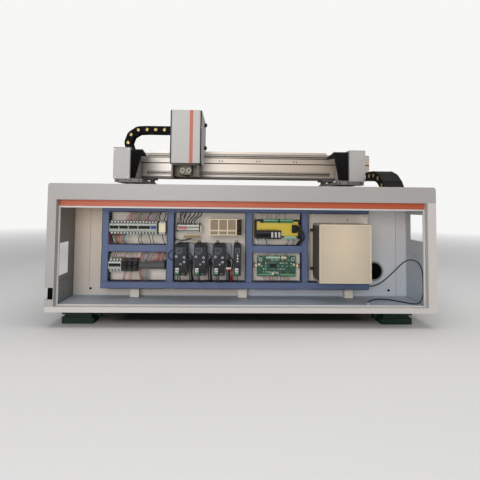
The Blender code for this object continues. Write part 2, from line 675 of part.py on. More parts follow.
def handle(name, span, middle, colour):
    """One ganged toggle: a drum in the breaker's nose with its lever up."""
    axis = at(BREAKER_NOSE + 0.002)
    drum = cylinder(((span[0] + span[1]) / 2, axis, middle), "X", HUB_RADIUS, span[1] - span[0], 12)
    reach, thick = 0.016, 0.0022
    out = Vector((-math.cos(HANDLE_REST), math.sin(HANDLE_REST)))
    across = Vector((out.y, -out.x)) * thick
    root, tip = Vector((axis, middle)), Vector((axis, middle)) + out * reach
    lever = prism([tuple(root - across), tuple(root + across), tuple(tip + across * 0.8),
                   tuple(tip - across * 0.8)], "X", span[0] + 0.003, span[1] - 0.003)
    finish(name, fuse(drum, lever), colour, 0.4)


def upper_din_row():
    """Rail with fifteen breaker poles and the interface relay beside them."""
    left, right, low, high = BREAKERS
    middle = (low + high) / 2
    body, cutters, spans = breakers(BREAKERS, BREAKER_POLES)
    cut(body, *cutters)
    relay = box(RELAY, (at(BREAKER_NOSE + 0.012), at(PANEL_FRONT - 0.005)), (low + 0.002, high - 0.002))
    cap = box((RELAY[0] + 0.003, RELAY[1] - 0.003), (at(BREAKER_NOSE + 0.004), at(BREAKER_NOSE + 0.02)),
              (low + 0.018, high - 0.018))
    row = fuse(body, relay, cap, din_rail(left - 0.003, RELAY[1] + 0.001, middle))
    finish("upper_din_row", row, BREAKER_WHITE, 0.45)
    names = ("handle_main_a", "handle_main_b", "handle_main_c", "handle_main_d", "handle_control")
    for name, (span, height) in zip(names, spans):
        handle(name, span, height, BLUE if name == "handle_control" else BLACK)


def lower_din_row():
    """Rail with the four-pole breaker, three contactors and the terminal strip."""
    left, right, low, high = LOWER_BREAKER
    middle = (low + high) / 2
    body, cutters, spans = breakers(LOWER_BREAKER, (LOWER_POLES,))
    cut(body, *cutters)
    pieces = [body, din_rail(left - 0.001, TERMINALS[1], middle)]
    width = (CONTACTORS[1] - CONTACTORS[0]) / 3
    for number in range(3):
        start = CONTACTORS[0] + number * width
        pieces.append(box((start + 0.0006, start + width - 0.0006),
                          (at(BREAKER_NOSE + 0.012), at(PANEL_FRONT - 0.005)),
                          (low + 0.004, high - 0.004)))
        pieces.append(box((start + 0.005, start + width - 0.005),
                          (at(BREAKER_NOSE + 0.002), at(BREAKER_NOSE + 0.02)),
                          (low + 0.022, high - 0.020)))
    strip = box(TERMINALS[:2], (at(BREAKER_SHOULDER + 0.004), at(PANEL_FRONT - 0.005)), TERMINALS[2:])
    finish("lower_din_row", fuse(*pieces, strip), BREAKER_WHITE, 0.45)
    handle("handle_lower", spans[0][0], spans[0][1], BLACK)


def terminal_block():
    """Row of feed-through terminals: stepped outline, wider at its foot."""
    left, right, low, high = TERMINAL_BLOCK
    front, back = at(BREAKER_SHOULDER - 0.007), at(PANEL_FRONT) - GAP
    step, shoulder = front + 0.022, 0.008
    outline = [(back, low), (step, low), (step, low + shoulder), (front, low + shoulder),
               (front, high - shoulder), (step, high - shoulder), (step, high), (back, high)]
    finish("terminal_block", prism(outline, "X", left, right), (0.55, 0.55, 0.50), 0.5)


def earth_bar():
    left, right, low, high = EARTH_BAR
    bar = box((left, right), (at(0.196), at(0.203)), (low, high))
    feet_ = [box((x - 0.006, x + 0.006), (at(0.202), at(PANEL_FRONT) - GAP), (low + SHEET, high - SHEET))
             for x in (left + 0.010, right - 0.010)]
    finish("earth_bar", fuse(bar, *feet_), BRASS, 0.3, 1.0)


def power_supply():
    """Supply with a three-cell vented front and a terminal strip below it."""
    left, right, low, high = SUPPLY
    front, back = at(BREAKER_NOSE), at(PANEL_FRONT) - GAP
    case = box((left, right), (front, back), (low, high))
    rim, foot = 0.006, 0.026
    width = (right - left - 4 * rim) / 3
    cells = [box((left + rim + n * (width + rim), left + rim + n * (width + rim) + width),
                 (front - SHEET, front + 0.004), (low + foot + rim, high - rim)) for n in range(3)]
    cells.append(box((left + rim, right - rim), (front - SHEET, front + 0.006), (low + rim, low + foot)))
    finish("power_supply", cut(case, *cells), CREAM, 0.45)


def servo_drives():
    """Four servo drives: three wide and one slim, with stepped fronts and connectors low down."""
    back = at(PANEL_FRONT) - GAP
    for name, (left, right) in DRIVES.items():
        wide = right - left > 0.05
        front = at(DRIVE_FRONT)
        case = box((left, right), (front + 0.014, back), (DRIVE_BOTTOM, DRIVE_TOP))
        cover = prism([(front, DRIVE_BOTTOM + 0.050), (front, DRIVE_TOP - 0.010),
                       (front + 0.010, DRIVE_TOP - 0.004), (front + 0.016, DRIVE_TOP - 0.004),
                       (front + 0.016, DRIVE_BOTTOM + 0.046)], "X", left + 0.002, right - 0.002)
        ears = [box((left + 0.010, left + 0.026), (back - 0.003, back), (low, high)) for low, high in
                ((DRIVE_BOTTOM - 0.012, DRIVE_BOTTOM + SHEET), (DRIVE_TOP - SHEET, DRIVE_TOP + 0.012))]
        plugs = [box((left + 0.006, left + (0.024 if wide else 0.026)), (front + 0.002, front + 0.016),
                     (DRIVE_BOTTOM + 0.008, DRIVE_BOTTOM + 0.042))]
        recess = [box((left + 0.009, left + (0.040 if wide else 0.028)), (front - SHEET, front + 0.003),
                      (DRIVE_TOP - 0.040, DRIVE_TOP - 0.018))]
        if wide:
            plugs.append(box((right - 0.030, right - 0.008), (front + 0.004, front + 0.016),
                             (DRIVE_BOTTOM + 0.006, DRIVE_BOTTOM + 0.030)))
            recess.append(box((right - 0.022, right - 0.008), (front - SHEET, front + 0.006),
                              (DRIVE_BOTTOM + 0.066, DRIVE_BOTTOM + 0.110)))
        body = fuse(case, cover, *ears, *plugs)
        finish(name, cut(body, *recess), BLACK, 0.4)


def motion_controller():
    left, right, low, high = CONTROLLER
    front, back = at(0.185), at(PANEL_FRONT) - GAP
    case = rounded_box((left, right), (front, back), (low + 0.010, high - 0.006), 0.004, "Y", 2)
    flange = box((left - 0.004, right + 0.002), (back - SHEET, back), (low + 0.016, high - 0.014))
    plugs = [box((left + a, left + b), (front - 0.012, back - 0.01), (high - 0.020, high)) for a, b in
             ((0.030, 0.110), (0.125, 0.190))]
    plugs.append(box((right - 0.090, right - 0.022), (front - 0.012, back - 0.01), (low, low + 0.016)))
    plugs.append(box((left + 0.012, left + 0.080), (front - 0.010, back - 0.01), (low, low + 0.022)))
    plugs.append(box((right - 0.020, right + 0.004), (front - 0.014, front + 0.02),
                     (low + 0.040, low + 0.080)))
    finish("motion_controller", fuse(case, flange, *plugs), YELLOW, 0.4)


def io_board():
    """Bare interface board on four pillars, with its terminals and round connectors."""
    left, right, low, high = IO_BOARD
    board_y = (at(0.214), at(0.2156))
    pillar = (board_y[0] + 0.0008, at(PANEL_FRONT) - GAP)
    pieces = [box((left, right), board_y, (low, high))]
    for x in (left + 0.008, right - 0.008):
        for z in (low + 0.008, high - 0.008):
            pieces.append(cylinder((x, (pillar[0] + pillar[1]) / 2, z), "Y", 0.004,
                                   pillar[1] - pillar[0], 8))
    top_terminals = ((0.030, 0.100), (0.112, 0.200))
    pieces += [box((left + a, left + b), (board_y[0] - 0.014, board_y[0] + 0.001),
                   (high - 0.018, high - SHEET)) for a, b in top_terminals]
    pieces += [box((left + a, left + b), (board_y[0] - 0.014, board_y[0] + 0.001),
                   (low + SHEET, low + 0.018)) for a,
               b in ((0.026, 0.086), (0.100, 0.150), (0.160, 0.206))]
    pieces.append(box((left + 0.075, left + 0.115), (board_y[0] - 0.004, board_y[0] + 0.001),
                      (low + 0.048, low + 0.076)))
    pieces += [cylinder((x, board_y[0] - 0.006, (low + high) / 2 + 0.010), "Y", 0.009, 0.014, 12)
               for x in (left + 0.013, right - 0.013)]
    finish("io_board", fuse(*pieces), BOARD_GREEN, 0.4)


def industrial_computer():
    """Steel computer case: lidded box, vented left side, bracket strip with two thumb screws."""
    left, right, low, high = COMPUTER
    front, back = at(COMPUTER_FRONT), at(PANEL_FRONT) - GAP
    case = box((left, right), (front + 0.0025, back), (low, high))
    lid = rounded_box((left + 0.0015, right - 0.0015), (front, front + 0.004),
                      (low + 0.0015, high - 0.0015), 0.003, "Y", 1)
    strip = box((left - 0.018, left + SHEET), (back - 2 * SHEET, back - SHEET), (low + 0.060, high - 0.050))
    knobs = [cylinder((left - 0.015, at(0.200), z), "X", 0.007, 0.038, 10) for z in (low + 0.060,
            high - 0.040)]
    body = fuse(case, lid, strip, *knobs)
    vents = [box((left - 0.0015, left + 0.0015), (front + 0.040 + n * 0.016, front + 0.047 + n * 0.016),
                 (low + 0.06, high - 0.06)) for n in range(8)]
    finish("industrial_computer", cut(body, *vents), STEEL, 0.35, 0.9)


def smooth_route(points, spacing):
    """Points along a smooth curve through a hand-chosen route."""
    spots = [Vector(p) for p in points]
    ends = [2 * spots[0] - spots[1], *spots, 2 * spots[-1] - spots[-2]]
    fine = []
    for a, b, c, d in zip(ends, ends[1:], ends[2:], ends[3:]):
        for step in range(12):
            t = step / 12
            fine.append(0.5 * (2 * b + (c - a) * t + (2 * a - 5 * b + 4 * c - d) * t ** 2 + (3 * b - a - 3 * c + d) * t ** 3))
    fine.append(spots[-1])
    chosen = [fine[0]]
    for spot in fine[1:]:
        if (spot - chosen[-1]).length >= spacing:
            chosen.append(spot)
    chosen[-1] = fine[-1]
    return chosen


def cabinet_cable():
    """Loose network cable that leaves the bottom duct, loops up and lies on the cabinet floor."""
    points = smooth_route([(x, at(depth), z) for x, depth, z in CABLE_ROUTE], 3 * CABLE_DIAMETER)
    curve = bpy.data.curves.new("cable", "CURVE")
    curve.dimensions = "3D"
    curve.bevel_depth = CABLE_DIAMETER / 2
    curve.bevel_resolution = 2
    curve.use_fill_caps = True
    line = curve.splines.new("POLY")
    line.points.add(len(points) - 1)
    for spot, place in zip(line.points, points):
        spot.co = (*place, 1)
    tube = bpy.data.objects.new("cable", curve)
    part.objects.link(tube)
    mesh = bpy.data.meshes.new_from_object(tube.evaluated_get(bpy.context.evaluated_depsgraph_get()))
    bpy.data.objects.remove(tube, do_unlink=True)
    bm = bmesh.new()
    bm.from_mesh(mesh)
    bmesh.ops.remove_doubles(bm, verts=bm.verts, dist=1e-5)
    bmesh.ops.recalc_face_normals(bm, faces=bm.faces)
    bm.to_mesh(mesh)
    bm.free()
    finish("cabinet_cable", linked(mesh), BLACK, 0.5)
    cable_plug(points[-2], points[-1])


def cable_plug(before, end):
    """Network plug on the cable's end, lying on the cabinet floor."""
    width, length, height = PLUG_SIZE
    along = (end - before).normalized()
    turn = Matrix.Rotation(math.atan2(along.y, along.x) - math.pi / 2, 4, "Z")
    floor = CABINET_FLOOR + GAP
    body = box((-width / 2, width / 2), (GAP, length), (0, height))
    latch = box((-width / 5, width / 5), (length * 0.3, length - SHEET), (height - 0.0005, height + 0.002))
    plug = fuse(body, latch)
    plug.data.transform(Matrix.Translation((end.x, end.y, floor)) @ turn)
    finish("cable_plug", plug, (0.5, 0.5, 0.5), 0.3)


def loop_pins(moving, bend, fixed, top, radius, pitch):
    """Pin places along a drag chain: upper run, half turn, lower run, as (along, height) pairs."""
    upper, turn = abs(moving - bend), math.pi * radius
    total = upper + turn + abs(fixed - bend)
    forward = 1 if moving > bend else -1
    pins = []
    for number in range(int(total / pitch) + 1):
        s = number * pitch
        if s <= upper:
            pins.append((moving - forward * s, top))
        elif s <= upper + turn:
            angle = (s - upper) / radius
            pins.append((bend - forward * radius * math.sin(angle),
                         top - radius + radius * math.cos(angle)))
        else:
            pins.append((bend + forward * (s - upper - turn), top - 2 * radius))
    return pins


def link_outline(a, b):
    """Eight-cornered side plate of one link; its corners lie on circles round its two pins."""
    a, b = Vector(a), Vector(b)
    heading = math.atan2(b.y - a.y, b.x - a.x)
    corners = []
    for middle, turns in ((b, (-90, -LINK_CORNER, LINK_CORNER, 90)),
                          (a, (90, 180 - LINK_CORNER, 180 + LINK_CORNER, 270))):
        for turn in turns:
            angle = heading + math.radians(turn)
            corners.append((middle.x + LINK_HEIGHT / 2 * math.cos(angle),
                            middle.y + LINK_HEIGHT / 2 * math.sin(angle)))
    return corners


def drag_chain(name, pins, axis, start, width):
    """Side plates of every link, a lid on each outside and a bar inside every second one, as one flexible chain."""
    pieces = []
    end = start + width
    loop_side = (Vector(pins[-1]) - Vector(pins[0])).cross(Vector(pins[1]) - Vector(pins[0]))
    outer = 1 if loop_side > 0 else -1
    for number, (a, b) in enumerate(zip(pins, pins[1:])):
        # every second link stands a little proud, as overlapping side plates do
        inset = LINK_STEP * ((number + 1) % 2)
        outline = link_outline(a, b)
        pieces.append(prism(outline, axis, start + inset, start + LINK_WALL))
        pieces.append(prism(outline, axis, end - LINK_WALL, end - inset))
        a, b = Vector(a), Vector(b)
        along = (b - a).normalized()
        up = Vector((-along.y, along.x))
        middle = (a + b) / 2
        for side in (-1, 1):
            if side != outer and number % 2:
                continue
            centre = middle + up * side * (LINK_HEIGHT / 2 - BAR_THICKNESS * 0.7)
            reach = (b - a).length * (OUTER_BAR if side == outer else INNER_BAR) / 2
            corners = [tuple(centre + along * i * reach + up * j * BAR_THICKNESS / 2)
                       for i, j in ((-1, -1), (1, -1), (1, 1), (-1, 1))]
            pieces.append(prism(corners, axis, start + LINK_WALL / 2, end - LINK_WALL / 2))
    finish(name, fuse(*pieces), BLACK, 0.5)


def y_chain():
    """The drag chain of the long axis, in its trough inside the right side panel."""
    pins = [(at(d), z) for d, z in loop_pins(Y_MOVING, Y_BEND, Y_FIXED, Y_CHAIN_TOP, Y_RADIUS, Y_PITCH)]
    drag_chain("y_drag_chain", pins, "X", Y_CHAIN_LEFT, Y_CHAIN_WIDTH)


def x_chain():
    """The drag chain of the short axis and its tray behind the beam."""
    pins = loop_pins(X_MOVING, X_BEND, X_FIXED, X_CHAIN_TOP, X_RADIUS, X_PITCH)
    front = at(X_CHAIN_FRONT)
    drag_chain("x_drag_chain", pins, "Y", front, X_CHAIN_WIDTH)
    floor = X_CHAIN_TOP - 2 * X_RADIUS - LINK_HEIGHT / 2 - GAP
    beam_back = at(BEAM_FRONT + BEAM_THICKNESS) + GAP
    left, right = BEAM_LEFT + 0.10, X_FIXED + 0.07
    outer = front + X_CHAIN_WIDTH + 0.006
    tray = [
        box((left, right), (beam_back, outer), (floor - SHEET, floor)),
        box((left, right), (beam_back, beam_back + SHEET), (floor - 0.060, floor - SHEET / 2)),
        box((left, right), (outer - SHEET, outer), (floor - SHEET / 2, floor + 0.030)),
    ]
    nose = X_FIXED + 0.030
    tray.append(prism([(nose, floor - SHEET / 2), (right, floor - SHEET / 2), (right, floor + 0.066),
                       (right - 0.004, floor + 0.066), (nose + 0.002, floor + 0.040),
                       (nose, floor + 0.040)], "Y", front + 0.004, outer - SHEET / 2))
    finish("x_chain_tray", fuse(*tray), BLACK, 0.5)


def beam():
    """Extruded gantry beam with its face grooves, both X rails and the X rack on top."""
    front, back = at(BEAM_FRONT), at(BEAM_FRONT + BEAM_THICKNESS)
    middle = (BEAM_BOTTOM + BEAM_TOP) / 2 + 0.022
    slot, low_slot = 0.004, X_RAILS[0] + 0.020
    outline = [(front, BEAM_BOTTOM + 0.008), (front + 0.008, BEAM_BOTTOM + 0.008),
               (front + 0.008, BEAM_BOTTOM), (back, BEAM_BOTTOM), (back, BEAM_TOP),
               (front + 0.003, BEAM_TOP), (front, BEAM_TOP - 0.003), (front, middle + slot),
               (front + 0.009, middle + slot), (front + 0.009, middle - slot), (front, middle - slot),
               (front, low_slot + 0.0015), (front + 0.003, low_slot + 0.0015),
               (front + 0.003, low_slot - 0.0015), (front, low_slot - 0.0015),]
    body = prism(outline, "X", BEAM_LEFT, BEAM_RIGHT)
    rails = [box((-SADDLE_INNER - 0.04, SADDLE_INNER + 0.04), (front - X_RAIL_DEPTH, front + 0.001),
                 (z - X_RAIL_HEIGHT / 2, z + X_RAIL_HEIGHT / 2)) for z in X_RAILS]
    rack = box((-SADDLE_INNER - 0.02, SADDLE_INNER + 0.02), (front + 0.014, front + 0.014 + RACK_WIDTH),
               (BEAM_TOP - 0.001, BEAM_TOP + RACK_HEIGHT))
    holes = [cylinder((x + half, front, 1.017), "Y", 0.0035, 0.014, 8) for x in (-0.150, 0.158,
            0.466) for half in (-0.0115, 0.0115)]
    finish("gantry_beam", cut(fuse(body, *rails, rack), *holes), ALUMINIUM, 0.35, 0.85)


def gantry_ends():
    """Saddle plates on bearing blocks, gussets under the beam, and the Y motors."""
    top = HOUSING_BOTTOM - GAP
    under = top - SADDLE_THICKNESS
    rail_top = BED_TOP + GAP + Y_RAIL_HEIGHT
    for side in (-1, 1):
        plate = box(mirrored((SADDLE_INNER, SADDLE_OUTER), side), (at(HOUSING_FRONT + 0.01), at(1.44)),
                    (under, top))
        pieces = [plate]
        block = mirrored((Y_RAIL_X - 0.024, Y_RAIL_X + 0.024), side)
        for depth in (0.80, 1.34):
            pieces.append(box(block, (at(depth), at(depth) + 0.080), (BED_TOP + 0.006, under + 0.001)))
        gusset_top = BEAM_BOTTOM - GAP
        foot = mirrored((SADDLE_INNER - 0.020, SADDLE_INNER + 0.082), side)
        pieces.append(box(foot, (at(BEAM_FRONT + 0.004), at(1.39)), (gusset_top - 0.012, gusset_top)))
        for x in (SADDLE_INNER + 0.006, SADDLE_INNER + 0.068):
            web = mirrored((x, x + 0.012), side)
            pieces.append(prism([(at(BEAM_FRONT + 0.012), top - 0.001), (at(1.40), top - 0.001),
                                 (at(1.38), gusset_top - 0.001),
                                 (at(BEAM_FRONT + 0.03), gusset_top - 0.001)], "X", *web))
        out = Y_RACK_X + RACK_WIDTH / 2 + ROOT_TO_AXIS
        axis_x = side * out
        motor_y = at(1.00)
        motor = rounded_box(mirrored((out - 0.040, out + 0.024), side),
                            (motor_y - 0.040, motor_y + 0.040), (top - 0.001, top + 0.150), 0.008, "Z",
                            2)
        pieces.append(motor)
        if side > 0:
            # arm and bracket that pull the drag chain, tucked behind the housing's corner
            arm = (SADDLE_OUTER - 0.004, Y_CHAIN_LEFT + 0.020)
            pieces.append(box(arm, (at(0.88), at(0.95)), (under, top)))
            pieces.append(box((HOUSING_OUTER + 0.003, arm[1]), (at(0.88), at(0.95)),
                              (top - 0.001, Y_CHAIN_TOP + 0.020)))
            bracket = (HOUSING_OUTER + 0.003, Y_CHAIN_LEFT + Y_CHAIN_WIDTH)
            pieces.append(box(bracket,
                              (at(Y_MOVING) + LINK_HEIGHT / 2 * math.cos(math.radians(LINK_CORNER)) + GAP,
                               at(0.91)), (Y_CHAIN_TOP - 0.024, Y_CHAIN_TOP + 0.024)))
        body = fuse(*pieces)
        run = RUN_CLEARANCE
        rail = box(mirrored((Y_RAIL_X - Y_RAIL_WIDTH / 2 - run, Y_RAIL_X + Y_RAIL_WIDTH / 2 + run), side),
                   (at(0.7), at(1.6)), (BED_TOP - 0.01, rail_top + run))
        bore = cylinder((axis_x, motor_y, under), "Z", SHAFT_RADIUS + run, 2 * SADDLE_THICKNESS + 0.030, 16)
        cut(body, rail, bore)
        finish("gantry_end_left" if side < 0 else "gantry_end_right", body, (0.55, 0.53, 0.50), 0.4)
        pinion("y_pinion_left" if side < 0 else "y_pinion_right", (axis_x, motor_y),
               BED_TOP + GAP + 0.002, under + 0.030)


def pinion(name, place, low, shaft_top):
    """Spur pinion with its shaft: addendum one module, dedendum one and a quarter."""
    x, y = place
    tip, root = PITCH_RADIUS + MODULE, PITCH_RADIUS - 1.25 * MODULE
    outline = []
    for tooth in range(PINION_TEETH):
        middle = 2 * math.pi * (tooth + 0.5) / PINION_TEETH
        for offset, radius in ((-0.30, root), (-0.13, tip), (0.13, tip), (0.30, root)):
            angle = middle + offset * 2 * math.pi / PINION_TEETH
            outline.append((x + radius * math.cos(angle), y + radius * math.sin(angle)))
    gear = prism(outline, "Z", low, low + PINION_HEIGHT)
    shaft = cylinder((x, y, (low + shaft_top) / 2 + 0.002), "Z", SHAFT_RADIUS, shaft_top - low - 0.004, 16)
    finish(name, fuse(gear, shaft), BRIGHT, 0.35, 1.0)


def end_housings():
    """Sheet covers over the two ends of the gantry, open below and behind."""
    for side in (-1, 1):
        x = mirrored((HOUSING_INNER, HOUSING_OUTER), side)
        y = (at(HOUSING_FRONT), at(BEAM_FRONT) - X_RAIL_DEPTH - 0.004)
        body = rounded_box(x, y, (HOUSING_BOTTOM, HOUSING_TOP), 0.003, "Z", 1)
        inside = box((x[0] + 0.002, x[1] - 0.002), (y[0] + 0.002, y[1] + 0.01),
                     (HOUSING_BOTTOM - 0.01, HOUSING_TOP - 0.002))
        finish("end_housing_left" if side < 0 else "end_housing_right", cut(body, inside), PAINT, 0.42)


def bellows():
    """Pleated aprons pushed back against the end housings: a front sheet and a roof, wider at the top."""
    low, high = HOUSING_BOTTOM + 0.007, HOUSING_TOP - 0.008
    front, back = at(HOUSING_FRONT + 0.018), at(BEAM_FRONT) - X_RAIL_DEPTH - 0.004
    lining = front + PLEAT_DEPTH + SHEET
    for name, (side, top_reach, low_reach) in BELLOWS_REACH.items():
        start = HOUSING_INNER - GAP
        step, roof_step = (start - low_reach) / PLEATS, (start - top_reach) / PLEATS
        sheet = [(side * start, lining), (side * start, front + PLEAT_DEPTH)]
        roof = [(side * start, high - PLEAT_DEPTH), (side * start, high - PLEAT_RISE)]
        for pleat in range(PLEATS):
            sheet.append((side * (start - (pleat + 0.5) * step), front))
            sheet.append((side * (start - (pleat + 1) * step), front + PLEAT_DEPTH))
            roof.append((side * (start - (pleat + 0.5) * roof_step), high))
            roof.append((side * (start - (pleat + 1) * roof_step), high - PLEAT_RISE))
        sheet.append((side * low_reach, lining))
        roof.append((side * top_reach, high - PLEAT_DEPTH))
        body = prism(sheet, "Z", low, high - PLEAT_RISE)
        for vertex in body.data.vertices:
            if vertex.co.z > (low + high) / 2:
                vertex.co.x = side * (start - (start - abs(vertex.co.x)) * roof_step / step)
        bm = bmesh.new()
        bm.from_mesh(body.data)
        bmesh.ops.triangulate(bm, faces=bm.faces)
        bm.to_mesh(body.data)
        bm.free()
        finish(name, fuse(body, prism(roof, "Y", front + PLEAT_DEPTH / 2, back)), BLACK, 0.8)


def carriage():
    """Carriage plate on four blocks, cheeks, top bracket, Z motor and the X motor."""
    left, right = CARRIAGE_X - CARRIAGE_WIDTH / 2, CARRIAGE_X + CARRIAGE_WIDTH / 2
    plate_y = (at(CARRIAGE_PLATE[0]), at(CARRIAGE_PLATE[1]))
    pieces = [box((left, right), plate_y, (CARRIAGE_BOTTOM, CARRIAGE_TOP))]
    run = RUN_CLEARANCE
    blocks = []
    for z in X_RAILS:
        for x in (left + 0.006, right - 0.066):
            blocks.append(box((x, x + 0.060), (plate_y[1] - 0.001, at(BEAM_FRONT) - 0.003),
                              (z - 0.022, z + 0.022)))
    pieces += blocks
    for x in (left, right - CHEEK):
        pieces.append(prism([(at(CHEEK_FRONT), CARRIAGE_BOTTOM), (plate_y[0] + 0.001, CARRIAGE_BOTTOM),
                             (plate_y[0] + 0.001, CARRIAGE_TOP + 0.10),
                             (at(CHEEK_FRONT) + 0.09, CARRIAGE_TOP + 0.10),
                             (at(CHEEK_FRONT), CARRIAGE_BOTTOM + 0.20)], "X", x, x + CHEEK))
    shelf = (CARRIAGE_TOP - 0.015, CARRIAGE_TOP)
    seat = (COVER[0] + COVER_WALL + GAP, COVER[1] - COVER_WALL - GAP)
    pieces.append(box(seat, (at(1.02), at(1.30)), shelf))
    pieces.append(box((left + SHEET, right - SHEET), (at(CHEEK_FRONT) + 0.004, at(CHEEK_FRONT) + 0.016),
                      (0.948, 0.975)))
    z_motor = rounded_box((CARRIAGE_X - 0.030, CARRIAGE_X + 0.030),
                          (at(Z_SCREW_Y) - 0.030, at(Z_SCREW_Y) + 0.030),
                          (shelf[1] - 0.001, shelf[1] + 0.130), 0.006, "Z", 2)
    axis_y = at(BEAM_FRONT) + 0.014 + RACK_WIDTH + ROOT_TO_AXIS
    x_motor = rounded_box((CARRIAGE_X - 0.030, CARRIAGE_X + 0.030), (axis_y - 0.030, axis_y + 0.030),
                          (shelf[1] - 0.001, shelf[1] + 0.120), 0.006, "Z", 2)
    pieces += [z_motor, x_motor]
    arm = (at(1.30) - 0.002, at(X_CHAIN_FRONT + X_CHAIN_WIDTH))
    chain_end = X_MOVING + LINK_HEIGHT / 2 * math.cos(math.radians(LINK_CORNER)) + GAP
    pieces.append(box((CARRIAGE_X + 0.045, right - 0.004), (at(1.28), at(1.300)),
                      (shelf[0] + SHEET, X_CHAIN_TOP - 0.010)))
    pieces.append(box((CARRIAGE_X + 0.045, right - 0.004), (arm[0], arm[1]),
                      (X_CHAIN_TOP - 0.022, X_CHAIN_TOP - 0.010)))
    pieces.append(box((chain_end, right - 0.004), (at(X_CHAIN_FRONT), arm[1]),
                      (X_CHAIN_TOP - 0.022, X_CHAIN_TOP + 0.020)))
    body = fuse(*pieces)
    cutters = [box((left - 0.01, right + 0.01), (at(BEAM_FRONT) - X_RAIL_DEPTH - run,
                                                 at(BEAM_FRONT) + 0.002),
                   (z - X_RAIL_HEIGHT / 2 - run, z + X_RAIL_HEIGHT / 2 + run)) for z in X_RAILS]
    cutters.append(cylinder((CARRIAGE_X, at(Z_SCREW_Y), shelf[0]), "Z", Z_SCREW_RADIUS + run, 0.060, 16))
    cutters.append(cylinder((CARRIAGE_X, axis_y, shelf[0]), "Z", SHAFT_RADIUS + run, 0.060, 16))
    finish("x_carriage", cut(body, *cutters), (0.50, 0.47, 0.43), 0.4, 0.7)
    pinion("x_pinion", (CARRIAGE_X, axis_y), BEAM_TOP + 0.002, shelf[0] + 0.025)
    z_screw(shelf[0] + 0.025)


def z_screw(top):
    low = Z_PLATE_BOTTOM + 0.032
    shaft = cylinder((CARRIAGE_X, at(Z_SCREW_Y), (low + top) / 2), "Z", Z_SCREW_RADIUS, top - low, 16)
    end = cylinder((CARRIAGE_X, at(Z_SCREW_Y), low + 0.003), "Z", Z_SCREW_RADIUS + 0.003, 0.008, 16)
    finish("z_screw", fuse(shaft, end), BRIGHT, 0.25, 1.0)


def z_cover():
    """The tall head cover: rounded front edges, stepped up behind to clear the beam."""
    y = (at(HOUSING_FRONT), at(COVER_BACK))
    outer = rounded_box(COVER, y, (COVER_BOTTOM, COVER_TOP), COVER_RADIUS, "Z", 3)
    inner = box((COVER[0] + COVER_WALL, COVER[1] - COVER_WALL), (y[0] + COVER_WALL, y[1] - COVER_WALL),
                (COVER_BOTTOM - 0.01, COVER_TOP - COVER_WALL))
    step = box((COVER[0] - 0.01, COVER[1] + 0.01), (at(BEAM_FRONT) - 0.065, y[1] + 0.01),
               (COVER_BOTTOM - 0.01, COVER_REAR_BOTTOM))
    rear = box((CARRIAGE_X - 0.04, COVER[1] - 0.012), (y[1] - 0.02, y[1] + 0.01),
               (X_CHAIN_TOP - 0.040, X_CHAIN_TOP + 0.026))
    body = cut(outer, inner, step, rear)
    fittings = [cylinder((COVER[1] + 0.009, at(1.12), z), "X", 0.014, 0.022, 12) for z in (1.298, 1.112)]
    finish("z_cover", fuse(body, *fittings), PAINT, 0.42)


def z_slide():
    """Slide plate with its guide shoes and the nut round the screw."""
    low, high = Z_PLATE_BOTTOM, Z_PLATE_TOP
    left, right = CARRIAGE_X - Z_PLATE_HALF, CARRIAGE_X + Z_PLATE_HALF
    plate = box((left, right), (at(Z_PLATE[0]), at(Z_PLATE[1])), (low, high))
    arm = box((CARRIAGE_X - 0.024, CARRIAGE_X + 0.024), (at(Z_PLATE[1]) - 0.001, at(Z_SCREW_Y + 0.022)),
              (1.010, 1.040))
    shoes = [box(mirrored_about(CARRIAGE_X, (0.052, 0.0875), side), (at(0.940), at(1.00)),
                 (low + 0.004, low + 0.092)) for side in (-1, 1)]
    body = fuse(plate, arm, *shoes)
    bore = cylinder((CARRIAGE_X, at(Z_SCREW_Y), 1.025), "Z", Z_SCREW_RADIUS + RUN_CLEARANCE, 0.060, 16)
    finish("z_slide", cut(body, bore), (0.55, 0.52, 0.48), 0.35, 0.8)


def mirrored_about(centre, limits, side):
    return tuple(sorted(centre + side * value for value in limits))


def cutting_head():
    """Laser head body, with its two lens barrels to the front and the nozzle below."""
    front, back = at(HEAD_FRONT), at(Z_PLATE[0]) - GAP
    low = Z_PLATE_BOTTOM + 0.012
    body = rounded_box((CARRIAGE_X - 0.046, CARRIAGE_X + 0.046), (front + 0.014, back), (low, 1.080),
                       0.005, "Z", 2)
    barrels = [cylinder((CARRIAGE_X + side * 0.024, front + 0.010, low + 0.030), "Y", 0.018, 0.020,
                        16) for side in (-1, 1)]
    axis_y = (front + back) / 2 + 0.008
    collar = cylinder((CARRIAGE_X, axis_y, low - 0.002), "Z", 0.020, 0.012, 16)
    nozzle = cylinder((CARRIAGE_X, axis_y, (low - 0.006 + NOZZLE_TIP) / 2), "Z", 0.004,
                      low - 0.006 - NOZZLE_TIP, 12, 0.013)
    body = fuse(body, *barrels, collar, nozzle)
    bores = [cylinder((CARRIAGE_X + side * 0.024, front, low + 0.030), "Y", 0.011, 0.012,
                      12) for side in (-1, 1)]
    finish("cutting_head", cut(body, *bores), (0.35, 0.33, 0.30), 0.35, 0.8)


clear_scene()
chassis_frame()
cabinet_face()
cabinet_shell()
orange_trim()
covers()
slat_table()
scrap_tray()
feet()
y_rails()
mounting_panel()
wiring_ducts()
upper_din_row()
lower_din_row()
terminal_block()
earth_bar()
power_supply()
servo_drives()
motion_controller()
io_board()
industrial_computer()
cabinet_cable()
y_chain()
x_chain()
beam()
gantry_ends()
end_housings()
bellows()
carriage()
z_cover()
z_slide()
cutting_head()
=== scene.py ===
"""Looks of the gantry laser cutting machine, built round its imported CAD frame."""
import json
import math
import random

import bmesh
import bpy
from mathutils import Matrix, Vector


